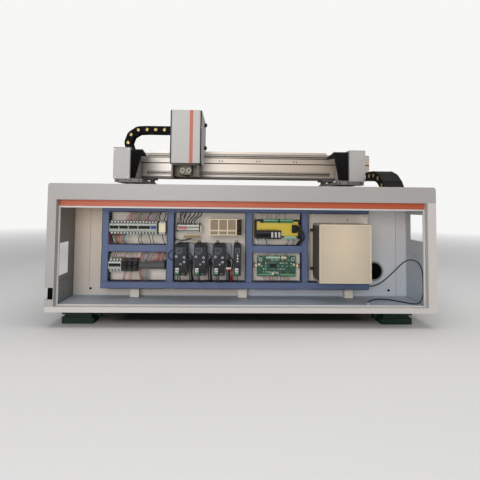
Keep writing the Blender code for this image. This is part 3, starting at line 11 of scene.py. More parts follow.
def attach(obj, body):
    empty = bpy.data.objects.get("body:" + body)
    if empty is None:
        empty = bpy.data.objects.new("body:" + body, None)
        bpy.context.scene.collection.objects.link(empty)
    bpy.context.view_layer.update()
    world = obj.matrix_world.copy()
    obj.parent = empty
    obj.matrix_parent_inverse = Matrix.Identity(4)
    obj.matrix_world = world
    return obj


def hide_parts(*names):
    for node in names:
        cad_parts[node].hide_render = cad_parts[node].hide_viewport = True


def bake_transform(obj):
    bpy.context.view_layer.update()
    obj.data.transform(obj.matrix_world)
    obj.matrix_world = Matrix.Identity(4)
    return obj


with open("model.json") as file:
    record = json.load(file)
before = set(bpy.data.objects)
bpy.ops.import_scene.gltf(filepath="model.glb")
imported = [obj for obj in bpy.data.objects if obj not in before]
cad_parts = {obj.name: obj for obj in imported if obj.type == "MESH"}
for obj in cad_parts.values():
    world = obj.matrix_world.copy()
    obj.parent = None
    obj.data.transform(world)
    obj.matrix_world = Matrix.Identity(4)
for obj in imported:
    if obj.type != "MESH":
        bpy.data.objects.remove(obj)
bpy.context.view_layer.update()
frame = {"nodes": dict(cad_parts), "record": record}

FRONT = -1.90
CAMERA_PLACE = (-0.092, -4.200, 0.662)
CAMERA_YAW, CAMERA_PITCH, CAMERA_ROLL = 0.0292, 0.0540, 0.0109
FOCAL_PIXELS, PRINCIPAL_ROW, PICTURE = 425.5, 181.45, 480

CABLE_DIAMETER = 0.007
CABLE_ROUTE = (
    (0.7430, 0.200, 0.190), (0.770, 0.175, 0.201), (0.805, 0.145, 0.229), (0.847, 0.120, 0.277),
    (0.886, 0.100, 0.325), (0.914, 0.086, 0.353), (0.946, 0.073, 0.362), (0.976, 0.064, 0.348),
    (0.994, 0.058, 0.310), (0.999, 0.056, 0.245), (0.998, 0.056, 0.175), (0.983, 0.062, 0.130),
    (0.955, 0.080, 0.1184), (0.918, 0.115, 0.1184), (0.875, 0.164, 0.1184), (0.827, 0.194, 0.1184),
    (0.775, 0.188, 0.1184), (0.732, 0.150, 0.1184), (0.708, 0.110, 0.1184), (0.700, 0.083, 0.1184),
)


def at(depth):
    """World Y of a distance behind the cabinet face."""
    return FRONT + depth


# Node building


class Wiring:
    """Adds nodes to a tree and joins their sockets."""

    def __init__(self, tree):
        self.tree = tree

    def add(self, kind, sockets=None, **settings):
        """A new node, with a value or a link for each named socket."""
        node = self.tree.nodes.new(kind)
        for name, value in settings.items():
            setattr(node, name, value)
        for key, value in (sockets or {}).items():
            self.feed(node.inputs[key], value)
        return node

    def feed(self, socket, value):
        """Links a socket to another one, or sets its value."""
        if isinstance(value, bpy.types.NodeSocket):
            self.tree.links.new(value, socket)
        else:
            socket.default_value = value

    def maths(self, operation, a, b=0.0, clamp=False):
        return self.add("ShaderNodeMath", {0: a, 1: b}, operation=operation, use_clamp=clamp).outputs[0]

    def product(self, a, b, clamp=False):
        return self.maths("MULTIPLY", a, b, clamp)

    def above(self, value, limit):
        return self.maths("GREATER_THAN", value, limit)

    def below(self, value, limit):
        return self.maths("LESS_THAN", value, limit)

    def ramp(self, value, start, slope):
        """Rises from 0 at a start value to 1."""
        return self.product(self.maths("SUBTRACT", value, start), slope, clamp=True)

    def vectors(self, operation, a, b=None):
        sockets = {0: a} if b is None else {0: a, 1: b}
        return self.add("ShaderNodeVectorMath", sockets, operation=operation).outputs

    def noise(self, place, scale, detail, **more):
        sockets = {"Vector": place, "Scale": scale, "Detail": detail, **more}
        return self.add("ShaderNodeTexNoise", sockets).outputs["Fac"]

    def place(self):
        """The place on the object as a vector."""
        return self.add("ShaderNodeTexCoord").outputs["Object"]

    def axes(self):
        """The place on the object, one socket for each axis."""
        return self.add("ShaderNodeSeparateXYZ", {0: self.place()}).outputs

    def mix(self, factor, a, b, blend="MIX"):
        node = self.add("ShaderNodeMix", data_type="RGBA", blend_type=blend)
        for number, value in ((0, factor), (6, a), (7, b)):
            self.feed(node.inputs[number], value)
        return node.outputs[2]

    def scaled(self, surface, shade):
        """A colour times one factor for each of its channels."""
        return self.mix(1.0, surface, (*shade, 1), "MULTIPLY")


def effect(name, inputs, outputs):
    """A shader node group with named sockets, ready to be filled."""
    group = bpy.data.node_groups.new(name, "ShaderNodeTree")
    for label, kind, value in inputs:
        socket = group.interface.new_socket(label, in_out="INPUT", socket_type=kind)
        socket.default_value = value
    for label, kind in outputs:
        group.interface.new_socket(label, in_out="OUTPUT", socket_type=kind)
    given = group.nodes.new("NodeGroupInput").outputs
    result = group.nodes.new("NodeGroupOutput").inputs
    return group, Wiring(group), given, result


NUMBER, COLOUR, VECTOR = "NodeSocketFloat", "NodeSocketColor", "NodeSocketVector"


def make_weathering():
    """Slow mottling of a colour and its gloss, with dust that lies on what faces up."""
    group, w, given, out = effect(
        "weathering",
        (("Colour", COLOUR, (0.5, 0.5, 0.5, 1)), ("Second Colour", COLOUR, (0.4, 0.4, 0.4, 1)),
         ("Mottle Scale", NUMBER, 4.0), ("Mottle", NUMBER, 0.3), ("Stretch", VECTOR, (1, 1, 1)),
         ("Roughness", NUMBER, 0.5), ("Gloss Span", NUMBER, 0.1), ("Dust", NUMBER, 0.1),
         ("Dust Colour", COLOUR, (0.36, 0.33, 0.29, 1))),
        (("Colour", COLOUR), ("Roughness", NUMBER)))
    place = w.place()
    stretched = w.vectors("MULTIPLY", place, given["Stretch"])[0]
    broad = w.noise(stretched, given["Mottle Scale"], 5.0, Roughness=0.6)
    fine = w.noise(place, 60.0, 3.0)
    swing = w.ramp(broad, 0.35, 3.0)
    colour = w.mix(w.product(swing, given["Mottle"], clamp=True), given["Colour"], given["Second Colour"])
    facing = w.add("ShaderNodeSeparateXYZ",
        {0: w.add("ShaderNodeNewGeometry").outputs["Normal"]}).outputs[2]
    lying = w.maths("POWER", w.maths("MAXIMUM", facing, 0.0), 2.0)
    patch = w.product(w.maths("ADD", broad, fine), given["Dust"])
    dusty = w.product(lying, patch, clamp=True)
    w.feed(out["Colour"], w.mix(dusty, colour, given["Dust Colour"]))
    gloss = w.product(w.maths("SUBTRACT", fine, 0.5), given["Gloss Span"])
    matt = w.product(dusty, 0.3)
    w.feed(out["Roughness"], w.maths("ADD", w.maths("ADD", given["Roughness"], gloss), matt, clamp=True))
    return group


def make_grain():
    """Fine relief: orange peel, moulded texture or, when stretched, brushing."""
    group, w, given, out = effect(
        "fine_grain", (("Scale", NUMBER, 400.0), ("Stretch", VECTOR, (1, 1, 1)), ("Waviness", NUMBER, 0.3)),
        (("Height", NUMBER),))
    place = w.place()
    stretched = w.vectors("MULTIPLY", place, given["Stretch"])[0]
    grain = w.noise(stretched, given["Scale"], 2.0)
    wave = w.noise(place, 9.0, 1.0)
    w.feed(out["Height"], w.maths("ADD", grain, w.product(wave, given["Waviness"])))
    return group


def make_edge_wear():
    """Mask of rubbed edges, found where a rounded normal leaves the true one."""
    group, w, given, out = effect(
        "edge_wear", (("Radius", NUMBER, 0.002), ("Amount", NUMBER, 0.5)), (("Mask", NUMBER),))
    rounded = w.add("ShaderNodeBevel", {"Radius": given["Radius"]}, samples=4).outputs[0]
    true = w.add("ShaderNodeNewGeometry").outputs["Normal"]
    same = w.vectors("DOT_PRODUCT", rounded, true)["Value"]
    patchy = w.noise(w.place(), 45.0, 4.0)
    edge = w.product(w.maths("SUBTRACT", 1.0, same), 6.0, clamp=True)
    worn = w.product(edge, w.ramp(patchy, 0.42, 6.0))
    w.feed(out["Mask"], w.product(worn, given["Amount"], clamp=True))
    return group


WEATHERING, GRAIN, EDGE_WEAR = make_weathering(), make_grain(), make_edge_wear()


def finish(name, colour, second=None, mottle=0.4, mottle_scale=3.0, roughness=0.45, gloss_span=0.12,
        metallic=0.0, grain=420.0, depth=0.00012, stretch=(1, 1, 1), dust=0.05, wear=0.0,
        bare=(0.35, 0.33, 0.30), specular=0.5, paint=None):
    """One surface: mottled colour, varied gloss, fine relief, dust and, if asked, worn edges and a paint
    step, which on some finishes paints light and shade.
    """
    material = bpy.data.materials.new(name)
    material.use_nodes = True
    shader = material.node_tree.nodes["Principled BSDF"]
    w = Wiring(material.node_tree)
    second = second or tuple(0.86 * c for c in colour)
    skin = w.add("ShaderNodeGroup", node_tree=WEATHERING)
    for label, value in (("Colour", (*colour, 1)), ("Second Colour", (*second, 1)),
            ("Mottle Scale", mottle_scale), ("Mottle", mottle), ("Stretch", stretch),
            ("Roughness", roughness), ("Gloss Span", gloss_span), ("Dust", dust)):
        skin.inputs[label].default_value = value
    surface = skin.outputs["Colour"]
    if paint:
        surface = paint(w, surface)
    if wear:
        rub = w.add("ShaderNodeGroup", node_tree=EDGE_WEAR)
        rub.inputs["Amount"].default_value = wear
        surface = w.mix(rub.outputs["Mask"], surface, (*bare, 1))
    relief = w.add("ShaderNodeGroup", node_tree=GRAIN)
    relief.inputs["Scale"].default_value = grain
    relief.inputs["Stretch"].default_value = stretch
    bump = w.add("ShaderNodeBump", {"Height": relief.outputs["Height"], "Strength": 1.0, "Distance": depth})
    material.node_tree.links.new(surface, shader.inputs["Base Color"])
    material.node_tree.links.new(skin.outputs["Roughness"], shader.inputs["Roughness"])
    material.node_tree.links.new(bump.outputs["Normal"], shader.inputs["Normal"])
    shader.inputs["Metallic"].default_value = metallic
    shader.inputs["Specular IOR Level"].default_value = specular
    return material


def between(w, value, low, high):
    """1 where a value lies between two limits."""
    return w.product(w.above(value, low), w.below(value, high))


def head_stripe(w, surface):
    """Orange stripe down the front of the head cover, and black fittings on its right side."""
    place = w.axes()
    stripe = w.product(between(w, place[0], -0.3725, -0.3470), w.below(place[1], at(0.7715)))
    striped = w.mix(stripe, surface, (0.545, 0.125, 0.060, 1))
    return w.mix(w.above(place[0], -0.2836), striped, (0.012, 0.012, 0.013, 1))


def tray_painted_light(w, surface):
    """Cabinet tray in painted light and shade: warmer towards the ceiling, bluer on the floor, each wall in
    its own light, and a painted highlight on the rim of its mouth.
    """
    place = w.axes()
    surface = w.mix(w.ramp(place[2], 0.12, 2.4), surface, w.scaled(surface, (1.08, 0.97, 0.88)))
    floor = w.below(place[2], 0.1185)
    walls = w.maths("SUBTRACT", 1.0, floor)
    # Painted light and shade: a warm and a cool patch on the rear wall, a bluer floor, a shaded left wall
    # and a darker right wall.
    for mask, shade in ((w.product(w.below(place[0], 0.0), walls), (1.24, 1.12, 0.98)),
            (w.product(w.above(place[0], 0.0), walls), (1.16, 1.22, 1.28)), (floor, (0.86, 0.95, 1.06)),
            (w.below(place[0], -1.0015), (0.34, 0.38, 0.42)),
            (w.above(place[0], 1.0015), (0.72, 0.76, 0.80))):
        surface = w.mix(mask, surface, w.scaled(surface, shade))
    # Painted highlight where the rim of the tray's mouth catches the light.
    return w.mix(w.below(place[1], at(0.0455)), surface, (0.660, 0.640, 0.610, 1))


def case_painted_highlight(w, surface):
    """Computer case: a painted highlight, warmer and brighter about the upper middle of its lid, cooler at
    its edges.
    """
    offset = w.vectors("SUBTRACT", w.place(), (0.560, at(0.049), 0.480))[0]
    far = w.vectors("LENGTH", w.vectors("MULTIPLY", offset, (5.0, 1.0, 2.6))[0])["Value"]
    return w.mix(w.maths("SUBTRACT", 1.0, far, clamp=True), surface, (0.700, 0.575, 0.410, 1))


def beam_painted_lamplight(w, surface):
    """Gantry beam: painted lamplight, neutral at its left end, warmer to the right under the hall's lamps.
    """
    along = w.product(w.maths("ADD", w.axes()[0], 0.60), 0.85, clamp=True)
    return w.mix(along, w.scaled(surface, (1.02, 1.12, 1.26)), surface)


def face_painted_daylight(w, surface):
    """Cabinet face: painted daylight, paler along its sill and its right jamb, where the daylight falls."""
    place = w.axes()
    jamb = w.product(w.ramp(place[0], 0.985, 40.0), w.below(place[2], 0.68))
    paler = w.maths("MAXIMUM", w.below(place[2], 0.1125), jamb)
    return w.mix(paler, surface, (0.600, 0.565, 0.530, 1))


def notch_shade(w, surface):
    """Dark inside of the channel behind the notch in the cabinet face."""
    place = w.axes()
    inside = w.product(w.below(place[0], -1.0), between(w, place[2], 0.1500, 0.2125))
    return w.mix(inside, surface, (0.010, 0.010, 0.010, 1))


PALE_PAINT = (0.405, 0.384, 0.366)
SHADED_PAINT = (0.365, 0.346, 0.329)
ORANGE_PAINT = (0.520, 0.100, 0.034)
BLACK_PLASTIC = (0.013, 0.013, 0.014)
FINISHES = {
    "body_paint": finish("warm_grey_powder_coat", PALE_PAINT, SHADED_PAINT, roughness=0.42, wear=0.25),
    "head_paint": finish("head_cover_paint", (0.550, 0.525, 0.505), (0.510, 0.486, 0.466), roughness=0.40,
                         paint=head_stripe),
    "housing_paint": finish("housing_powder_coat", (0.530, 0.505, 0.485), (0.490, 0.466, 0.447),
                            roughness=0.42),
    "face_paint": finish("face_powder_coat", PALE_PAINT, SHADED_PAINT, roughness=0.42, wear=0.25,
                         paint=face_painted_daylight),
    "carriage_steel": finish("carriage_plate", (0.215, 0.185, 0.145), (0.165, 0.142, 0.112), roughness=0.5,
                             metallic=0.3),
    "cabinet_paint": finish("cabinet_tray_paint", (0.500, 0.505, 0.515), (0.455, 0.460, 0.470),
                            roughness=0.5, dust=0.15, paint=tray_painted_light),
    "chassis_paint": finish("frame_paint", (0.440, 0.412, 0.390), (0.380, 0.358, 0.340), roughness=0.48,
                            dust=0.3, wear=0.4, paint=notch_shade),
    "orange_paint": finish("orange_powder_coat", ORANGE_PAINT, (0.470, 0.086, 0.028), roughness=0.42,
                           wear=0.2),
    "panel_paint": finish("equipment_plate_paint", (0.760, 0.690, 0.605), (0.710, 0.645, 0.565),
                          roughness=0.5),
    "duct_plastic": finish("duct_plastic", (0.088, 0.122, 0.235), (0.074, 0.102, 0.198), roughness=0.5,
                           grain=700),
    # Dark finish that paints the shade inside duct slots and lid gaps.
    "duct_shade": finish("duct_inside", (0.003, 0.003, 0.006), roughness=0.9, specular=0.05),
    "breaker_plastic": finish("breaker_plastic", (0.400, 0.430, 0.370), (0.350, 0.380, 0.325),
                              roughness=0.42, grain=900),
    "white_plastic": finish("white_plastic", (0.720, 0.730, 0.700), (0.640, 0.650, 0.620), roughness=0.4,
                            grain=900),
    "terminal_plastic": finish("terminal_plastic", (0.600, 0.590, 0.540), roughness=0.5, grain=900),
    "grey_plastic": finish("grey_plastic", (0.060, 0.062, 0.064), (0.075, 0.077, 0.080), roughness=0.45,
                           grain=900),
    "pale_grey_plastic": finish("pale_grey_plastic", (0.260, 0.265, 0.265), roughness=0.45, grain=900),
    "black_toggle": finish("toggle_black", (0.0060, 0.0060, 0.0065), roughness=0.42, grain=900,
                           specular=0.25),
    "blue_toggle": finish("toggle_blue", (0.012, 0.050, 0.300), roughness=0.3, grain=900),
    "red_plastic": finish("red_plastic", (0.420, 0.025, 0.020), roughness=0.38, grain=900),
    "green_plastic": finish("green_terminal", (0.030, 0.230, 0.085), (0.022, 0.180, 0.065), roughness=0.4,
                            grain=900),
    "pale_green_plastic": finish("pale_green_terminal", (0.330, 0.560, 0.420), roughness=0.4, grain=900),
    "pale_blue_plastic": finish("pale_blue_terminal", (0.220, 0.440, 0.560), roughness=0.4, grain=900),
    "earth_brass": finish("earth_brass", (0.300, 0.220, 0.110), (0.220, 0.160, 0.080), roughness=0.42,
                          metallic=0.6),
    "supply_case": finish("supply_cream", (0.800, 0.690, 0.500), (0.740, 0.620, 0.440), roughness=0.45),
    "supply_mesh": finish("supply_mesh", (0.400, 0.295, 0.190), (0.320, 0.230, 0.150), roughness=0.5),
    "drive_case": finish("drive_moulding", (0.014, 0.016, 0.022), (0.020, 0.022, 0.028), roughness=0.5,
                         grain=900, depth=0.0002, specular=0.3),
    "drive_metal": finish("drive_zinc_side", (0.240, 0.265, 0.285), (0.200, 0.225, 0.245), mottle=0.6,
                          mottle_scale=20.0, roughness=0.42, metallic=0.5),
    "controller_case": finish("controller_yellow", (0.660, 0.480, 0.035), (0.600, 0.430, 0.030),
                              roughness=0.4),
    "circuit_board": finish("solder_mask", (0.005, 0.095, 0.052), (0.003, 0.065, 0.034), roughness=0.3,
                            mottle_scale=60),
    "computer_case": finish("galvanised_sheet", (0.500, 0.440, 0.345), (0.440, 0.390, 0.310), mottle=0.7,
                            mottle_scale=14.0, roughness=0.46, gloss_span=0.2, metallic=0.25, dust=0.05,
                            paint=case_painted_highlight),
    # Dark finish that paints the shade in slots, holes, gaps and recesses.
    "vent_shade": finish("vent_dark", (0.003, 0.003, 0.003), roughness=0.9, specular=0.05),
    "cable_sheath": finish("cable_sheath", BLACK_PLASTIC, roughness=0.45, grain=900),
    "plug_plastic": finish("clear_plug", (0.550, 0.560, 0.580), roughness=0.2, grain=900),
    "chain_plastic": finish("chain_nylon", (0.0035, 0.0035, 0.0040), (0.006, 0.006, 0.0065), roughness=0.7,
                            specular=0.12, grain=600, depth=0.0003, dust=0.05),
    "tray_paint": finish("black_tray_paint", (0.015, 0.015, 0.016), (0.03, 0.03, 0.03), roughness=0.45,
                         dust=0.12),
    "beam_aluminium": finish("anodised_extrusion", (0.700, 0.585, 0.470), (0.600, 0.490, 0.390), mottle=0.6,
                             paint=beam_painted_lamplight, mottle_scale=14.0, roughness=0.42, metallic=0.55, grain=300,
                             stretch=(0.05, 1, 1), depth=0.0002),
    "machined_steel": finish("machined_steel", (0.470, 0.435, 0.395), (0.380, 0.350, 0.320), roughness=0.38,
                             metallic=0.7, grain=320, stretch=(1, 1, 0.08), wear=0.3),
    "bright_steel": finish("ground_steel", (0.620, 0.600, 0.560), (0.520, 0.500, 0.460), roughness=0.26,
                           metallic=1.0, grain=500, stretch=(1, 0.04, 1)),
    "rail_steel": finish("ground_rail", (0.120, 0.102, 0.085), (0.090, 0.078, 0.066), roughness=0.38,
                         metallic=0.6, grain=500, stretch=(0.04, 1, 1)),
    "saddle_paint": finish("saddle_paint", (0.235, 0.208, 0.192), (0.200, 0.178, 0.165), roughness=0.5,
                           wear=0.15),
    "zinc_steel": finish("zinc_plated", (0.560, 0.550, 0.520), (0.420, 0.410, 0.390), roughness=0.35,
                         metallic=0.9),
    "black_screw": finish("blackened_screw", (0.020, 0.020, 0.020), roughness=0.4, metallic=0.5),
    "bellows_cloth": finish("coated_cloth", (0.008, 0.008, 0.008), (0.012, 0.012, 0.012), roughness=0.65,
                            grain=1500, depth=0.0002, dust=0.04),
    "head_aluminium": finish("head_aluminium", (0.330, 0.290, 0.235), (0.240, 0.210, 0.170), roughness=0.42,
                             metallic=0.8),
    "lens_glass": finish("lens_cover_glass", (0.020, 0.024, 0.030), roughness=0.08, grain=900,
                         depth=0.00002),
    "slat_steel": finish("scorched_slats", (0.300, 0.250, 0.210), (0.160, 0.130, 0.110), mottle=0.9,
                         mottle_scale=8, roughness=0.6, metallic=0.7, dust=0.3),
    "tray_steel": finish("tray_sheet", (0.300, 0.290, 0.270), (0.200, 0.180, 0.160), mottle=0.8,
                         roughness=0.5, metallic=0.7, dust=0.6),
    "foot_paint": finish("foot_green_paint", (0.005, 0.024, 0.014), (0.003, 0.014, 0.008), specular=0.25,
                         roughness=0.5, dust=0.2, wear=0.6, bare=(0.10, 0.10, 0.09)),
    "pin_brass": finish("pin_brass", (0.880, 0.660, 0.280), (0.740, 0.500, 0.180), roughness=0.3,
                        metallic=0.6),
}
WIRE_COLOURS = {
    "red": (0.420, 0.030, 0.026), "dark_red": (0.230, 0.020, 0.020), "pink": (0.560, 0.230, 0.220),
    "green": (0.030, 0.190, 0.070), "yellow_green": (0.340, 0.430, 0.060), "teal": (0.030, 0.260, 0.260),
    "blue": (0.030, 0.070, 0.300), "grey": (0.270, 0.275, 0.290), "white": (0.700, 0.700, 0.680),
}
for shade, colour in WIRE_COLOURS.items():
    FINISHES["wire_" + shade] = finish("wire_" + shade, colour, roughness=0.42, grain=900)


OWN_FINISHES = {
    "z_cover": "head_paint", "cabinet_shell": "cabinet_paint", "cabinet_face": "face_paint",
    "gantry_end_left": "saddle_paint", "gantry_end_right": "saddle_paint",
    "end_housing_left": "housing_paint", "end_housing_right": "housing_paint",
    "x_carriage": "carriage_steel", "z_slide": "carriage_steel", "cutting_head": "carriage_steel",
}


def dress_nodes():
    """Gives every CAD node the finish of its material slot, or a finer one of its own."""
    slots = {entry["node"]: entry["material_slot"] for entry in frame["record"]["subparts"]}
    for name, obj in frame["nodes"].items():
        obj.data.materials.clear()
        obj.data.materials.append(FINISHES[OWN_FINISHES.get(name, slots[name])])


# Mesh building


def piece(name, mesh_or_bmesh, material=None, body="bed"):
    """A finished object at the origin that rides on a body."""
    mesh = mesh_or_bmesh
    if isinstance(mesh, bmesh.types.BMesh):
        mesh = bpy.data.meshes.new(name)
        mesh_or_bmesh.to_mesh(mesh)
        mesh_or_bmesh.free()
    if material:
        mesh.materials.clear()
        mesh.materials.append(FINISHES[material])
    obj = bpy.data.objects.new(name, mesh)
    bpy.context.scene.collection.objects.link(obj)
    if body:
        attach(obj, body)
    return obj


def smooth_route(points, spacing):
    """Points along a smooth curve through a given route."""
    spots = [Vector(p) for p in points]
    ends = [2 * spots[0] - spots[1], *spots, 2 * spots[-1] - spots[-2]]
    fine = []
    for a, b, c, d in zip(ends, ends[1:], ends[2:], ends[3:]):
        for step in range(12):
            t = step / 12
            bend = (2 * a - 5 * b + 4 * c - d) * t ** 2 + (3 * b - a - 3 * c + d) * t ** 3
            fine.append(0.5 * (2 * b + (c - a) * t + bend))
    fine.append(spots[-1])
    chosen = [fine[0]]
    for spot in fine[1:]:
        if (spot - chosen[-1]).length >= spacing:
            chosen.append(spot)
    chosen[-1] = fine[-1]
    return chosen


def tree(name, inputs):
    """A geometry node tree with named size inputs."""
    group = bpy.data.node_groups.new(name, "GeometryNodeTree")
    group.interface.new_socket("Geometry", in_out="INPUT", socket_type="NodeSocketGeometry")
    for label, kind, value in inputs:
        socket = group.interface.new_socket(label, in_out="INPUT", socket_type=kind)
        if value is not None:
            socket.default_value = value
    group.interface.new_socket("Geometry", in_out="OUTPUT", socket_type="NodeSocketGeometry")
    given = group.nodes.new("NodeGroupInput").outputs
    result = group.nodes.new("NodeGroupOutput").inputs
    return group, Wiring(group), given, result


def grow(name, source, group, values, body="bed"):
    """Runs a node tree on a source object and keeps the result as a plain mesh piece."""
    modifier = source.modifiers.new("grow", "NODES")
    modifier.node_group = group
    sockets = {item.name: item.identifier for item in group.interface.items_tree if item.in_out == "INPUT"}
    for label, value in values.items():
        modifier[sockets[label]] = value
    source.update_tag()
    bpy.context.view_layer.update()
    mesh = bpy.data.meshes.new_from_object(source.evaluated_get(bpy.context.evaluated_depsgraph_get()))
    source.modifiers.clear()
    bpy.data.objects.remove(source, do_unlink=True)
    return piece(name, mesh, None, body)


def make_wire_tree():
    """Sweeps a round section along every curve."""
    group, w, given, out = tree("swept_wire", (("Radius", NUMBER, 0.001), ("Sides", "NodeSocketInt", 8),
        ("Finish", "NodeSocketMaterial", None)))
    section = w.add("GeometryNodeCurvePrimitiveCircle",
        {"Resolution": given["Sides"], "Radius": given["Radius"]})
    swept = w.add("GeometryNodeCurveToMesh", {"Curve": given["Geometry"],
        "Profile Curve": section.outputs["Curve"], "Fill Caps": True})
    smooth = w.add("GeometryNodeSetShadeSmooth", {0: swept.outputs["Mesh"]})
    real = w.add("GeometryNodeRealizeInstances", {0: smooth.outputs[0]})
    coloured = w.add("GeometryNodeSetMaterial", {"Geometry": real.outputs[0], "Material": given["Finish"]})
    w.tree.links.new(coloured.outputs[0], out["Geometry"])
    return group


WIRE_TREE = make_wire_tree()


def routes_object(routes):
    """A curve object with one open spline for each route."""
    curve = bpy.data.curves.new("routes", "CURVE")
    curve.dimensions = "3D"
    for route in routes:
        line = curve.splines.new("POLY")
        line.points.add(len(route) - 1)
        for spot, place in zip(line.points, route):
            spot.co = (*place, 1)
    obj = bpy.data.objects.new("routes", curve)
    bpy.context.scene.collection.objects.link(obj)
    return obj


def wires(name, routes, radius, finish_name, body="bed", sides=8):
    """Round wires along routes, built as one piece."""
    return grow(name, routes_object(routes), WIRE_TREE,
        {"Radius": radius, "Sides": sides, "Finish": FINISHES[finish_name]}, body)


# Shapes gathered by finish

FACING = {"X": Matrix.Rotation(math.pi / 2, 4, "Z"), "Y": Matrix.Identity(4),
    "Z": Matrix.Rotation(-math.pi / 2, 4, "X")}


def lathe(profile, sides):
    """A round shape about the Y axis through (radius, y) pairs."""
    bm = bmesh.new()
    rings = []
    for radius, y in profile:
        if radius == 0:
            rings.append([bm.verts.new((0, y, 0))])
            continue
        turns = [2 * math.pi * side / sides for side in range(sides)]
        rings.append([bm.verts.new((radius * math.cos(a), y, radius * math.sin(a))) for a in turns])
    for first, second in zip(rings, rings[1:]):
        for side in range(sides):
            after = (side + 1) % sides
            corners = [first[side % len(first)], first[after % len(first)], second[after % len(second)],
                second[side % len(second)]]
            bm.faces.new(list(dict.fromkeys(corners)))
    bmesh.ops.recalc_face_normals(bm, faces=bm.faces)
    return bm


def unit_block():
    """A cube one unit wide."""
    bm = bmesh.new()
    bmesh.ops.create_cube(bm, size=1)
    return bm


def slotted_screw():
    """Screw head with a slot, one wide and one deep, facing the front."""
    bm = lathe(((0, -0.15), (0.5, -0.15), (0.5, 0.5), (0, 0.5)), 12)
    for side in (1, -1):
        arc = [math.radians(side * turn) for turn in (18, 55, 90, 125, 162)]
        front = [bm.verts.new((0.48 * math.cos(a), -0.5, 0.48 * math.sin(a))) for a in arc]
        back = [bm.verts.new((0.5 * math.cos(a), -0.15, 0.5 * math.sin(a))) for a in arc]
        bm.faces.new(front)
        for here in range(len(arc)):
            after = (here + 1) % len(arc)
            bm.faces.new((front[here], front[after], back[after], back[here]))
    bmesh.ops.recalc_face_normals(bm, faces=bm.faces)
    return bm


def rack_tooth():
    """One rack tooth, a unit long at its root, high towards +X and as thick as the rack."""
    bm = bmesh.new()
    outline = ((0, -0.5), (1, -0.2), (1, 0.2), (0, 0.5))
    face = bm.faces.new([bm.verts.new((a, b, -0.5)) for a, b in outline])
    grown = bmesh.ops.extrude_face_region(bm, geom=[face])
    moved = [v for v in grown["geom"] if isinstance(v, bmesh.types.BMVert)]
    bmesh.ops.translate(bm, vec=(0, 0, 1), verts=moved)
    bmesh.ops.recalc_face_normals(bm, faces=bm.faces)
    return bm


SMALL_SHAPES = {"block": unit_block, "screw": slotted_screw, "tooth": rack_tooth}
ROUND_SHAPES = {
    "disc": (((0, -0.5), (0.45, -0.5), (0.5, -0.4), (0.5, 0.5), (0, 0.5)), 12),
    "socket_bolt": (
        ((0, -0.1), (0.24, -0.1), (0.27, -0.5), (0.45, -0.5), (0.5, -0.4), (0.5, 0.5), (0, 0.5)), 12),
    "ring": (((0, -0.2), (0.30, -0.2), (0.33, -0.5), (0.46, -0.5), (0.5, -0.4), (0.5, 0.5), (0, 0.5)), 20),
    "pin": (((0, -0.5), (0.25, -0.46), (0.42, -0.3), (0.5, 0.0), (0.5, 0.5), (0, 0.5)), 16),
}


def make_repeat_tree():
    """Sets one small shape at every point, turned and sized by the points' own values."""
    group, w, given, out = tree("repeated_shape", (("Shape", "NodeSocketObject", None),
        ("Finish", "NodeSocketMaterial", None)))
    shape = w.add("GeometryNodeObjectInfo", {"Object": given["Shape"]})
    turn = w.add("GeometryNodeInputNamedAttribute", {"Name": "turn"}, data_type="FLOAT_VECTOR")
    size = w.add("GeometryNodeInputNamedAttribute", {"Name": "size"}, data_type="FLOAT_VECTOR")
    placed = w.add("GeometryNodeInstanceOnPoints", {"Points": given["Geometry"],
        "Instance": shape.outputs["Geometry"], "Rotation": turn.outputs["Attribute"],
        "Scale": size.outputs["Attribute"]})
    real = w.add("GeometryNodeRealizeInstances", {0: placed.outputs[0]})
    coloured = w.add("GeometryNodeSetMaterial", {"Geometry": real.outputs[0], "Material": given["Finish"]})
    w.tree.links.new(coloured.outputs[0], out["Geometry"])
    return group


REPEAT_TREE = make_repeat_tree()
FRONT_FACING, TOP_FACING = (0, 0, 0), (-math.pi / 2, 0, 0)
LEFT_FACING, RIGHT_FACING, REAR_FACING = (0, 0, -math.pi / 2), (0, 0, math.pi / 2), (0, 0, math.pi)
SIDE_FACING = {-1: LEFT_FACING, 1: RIGHT_FACING}


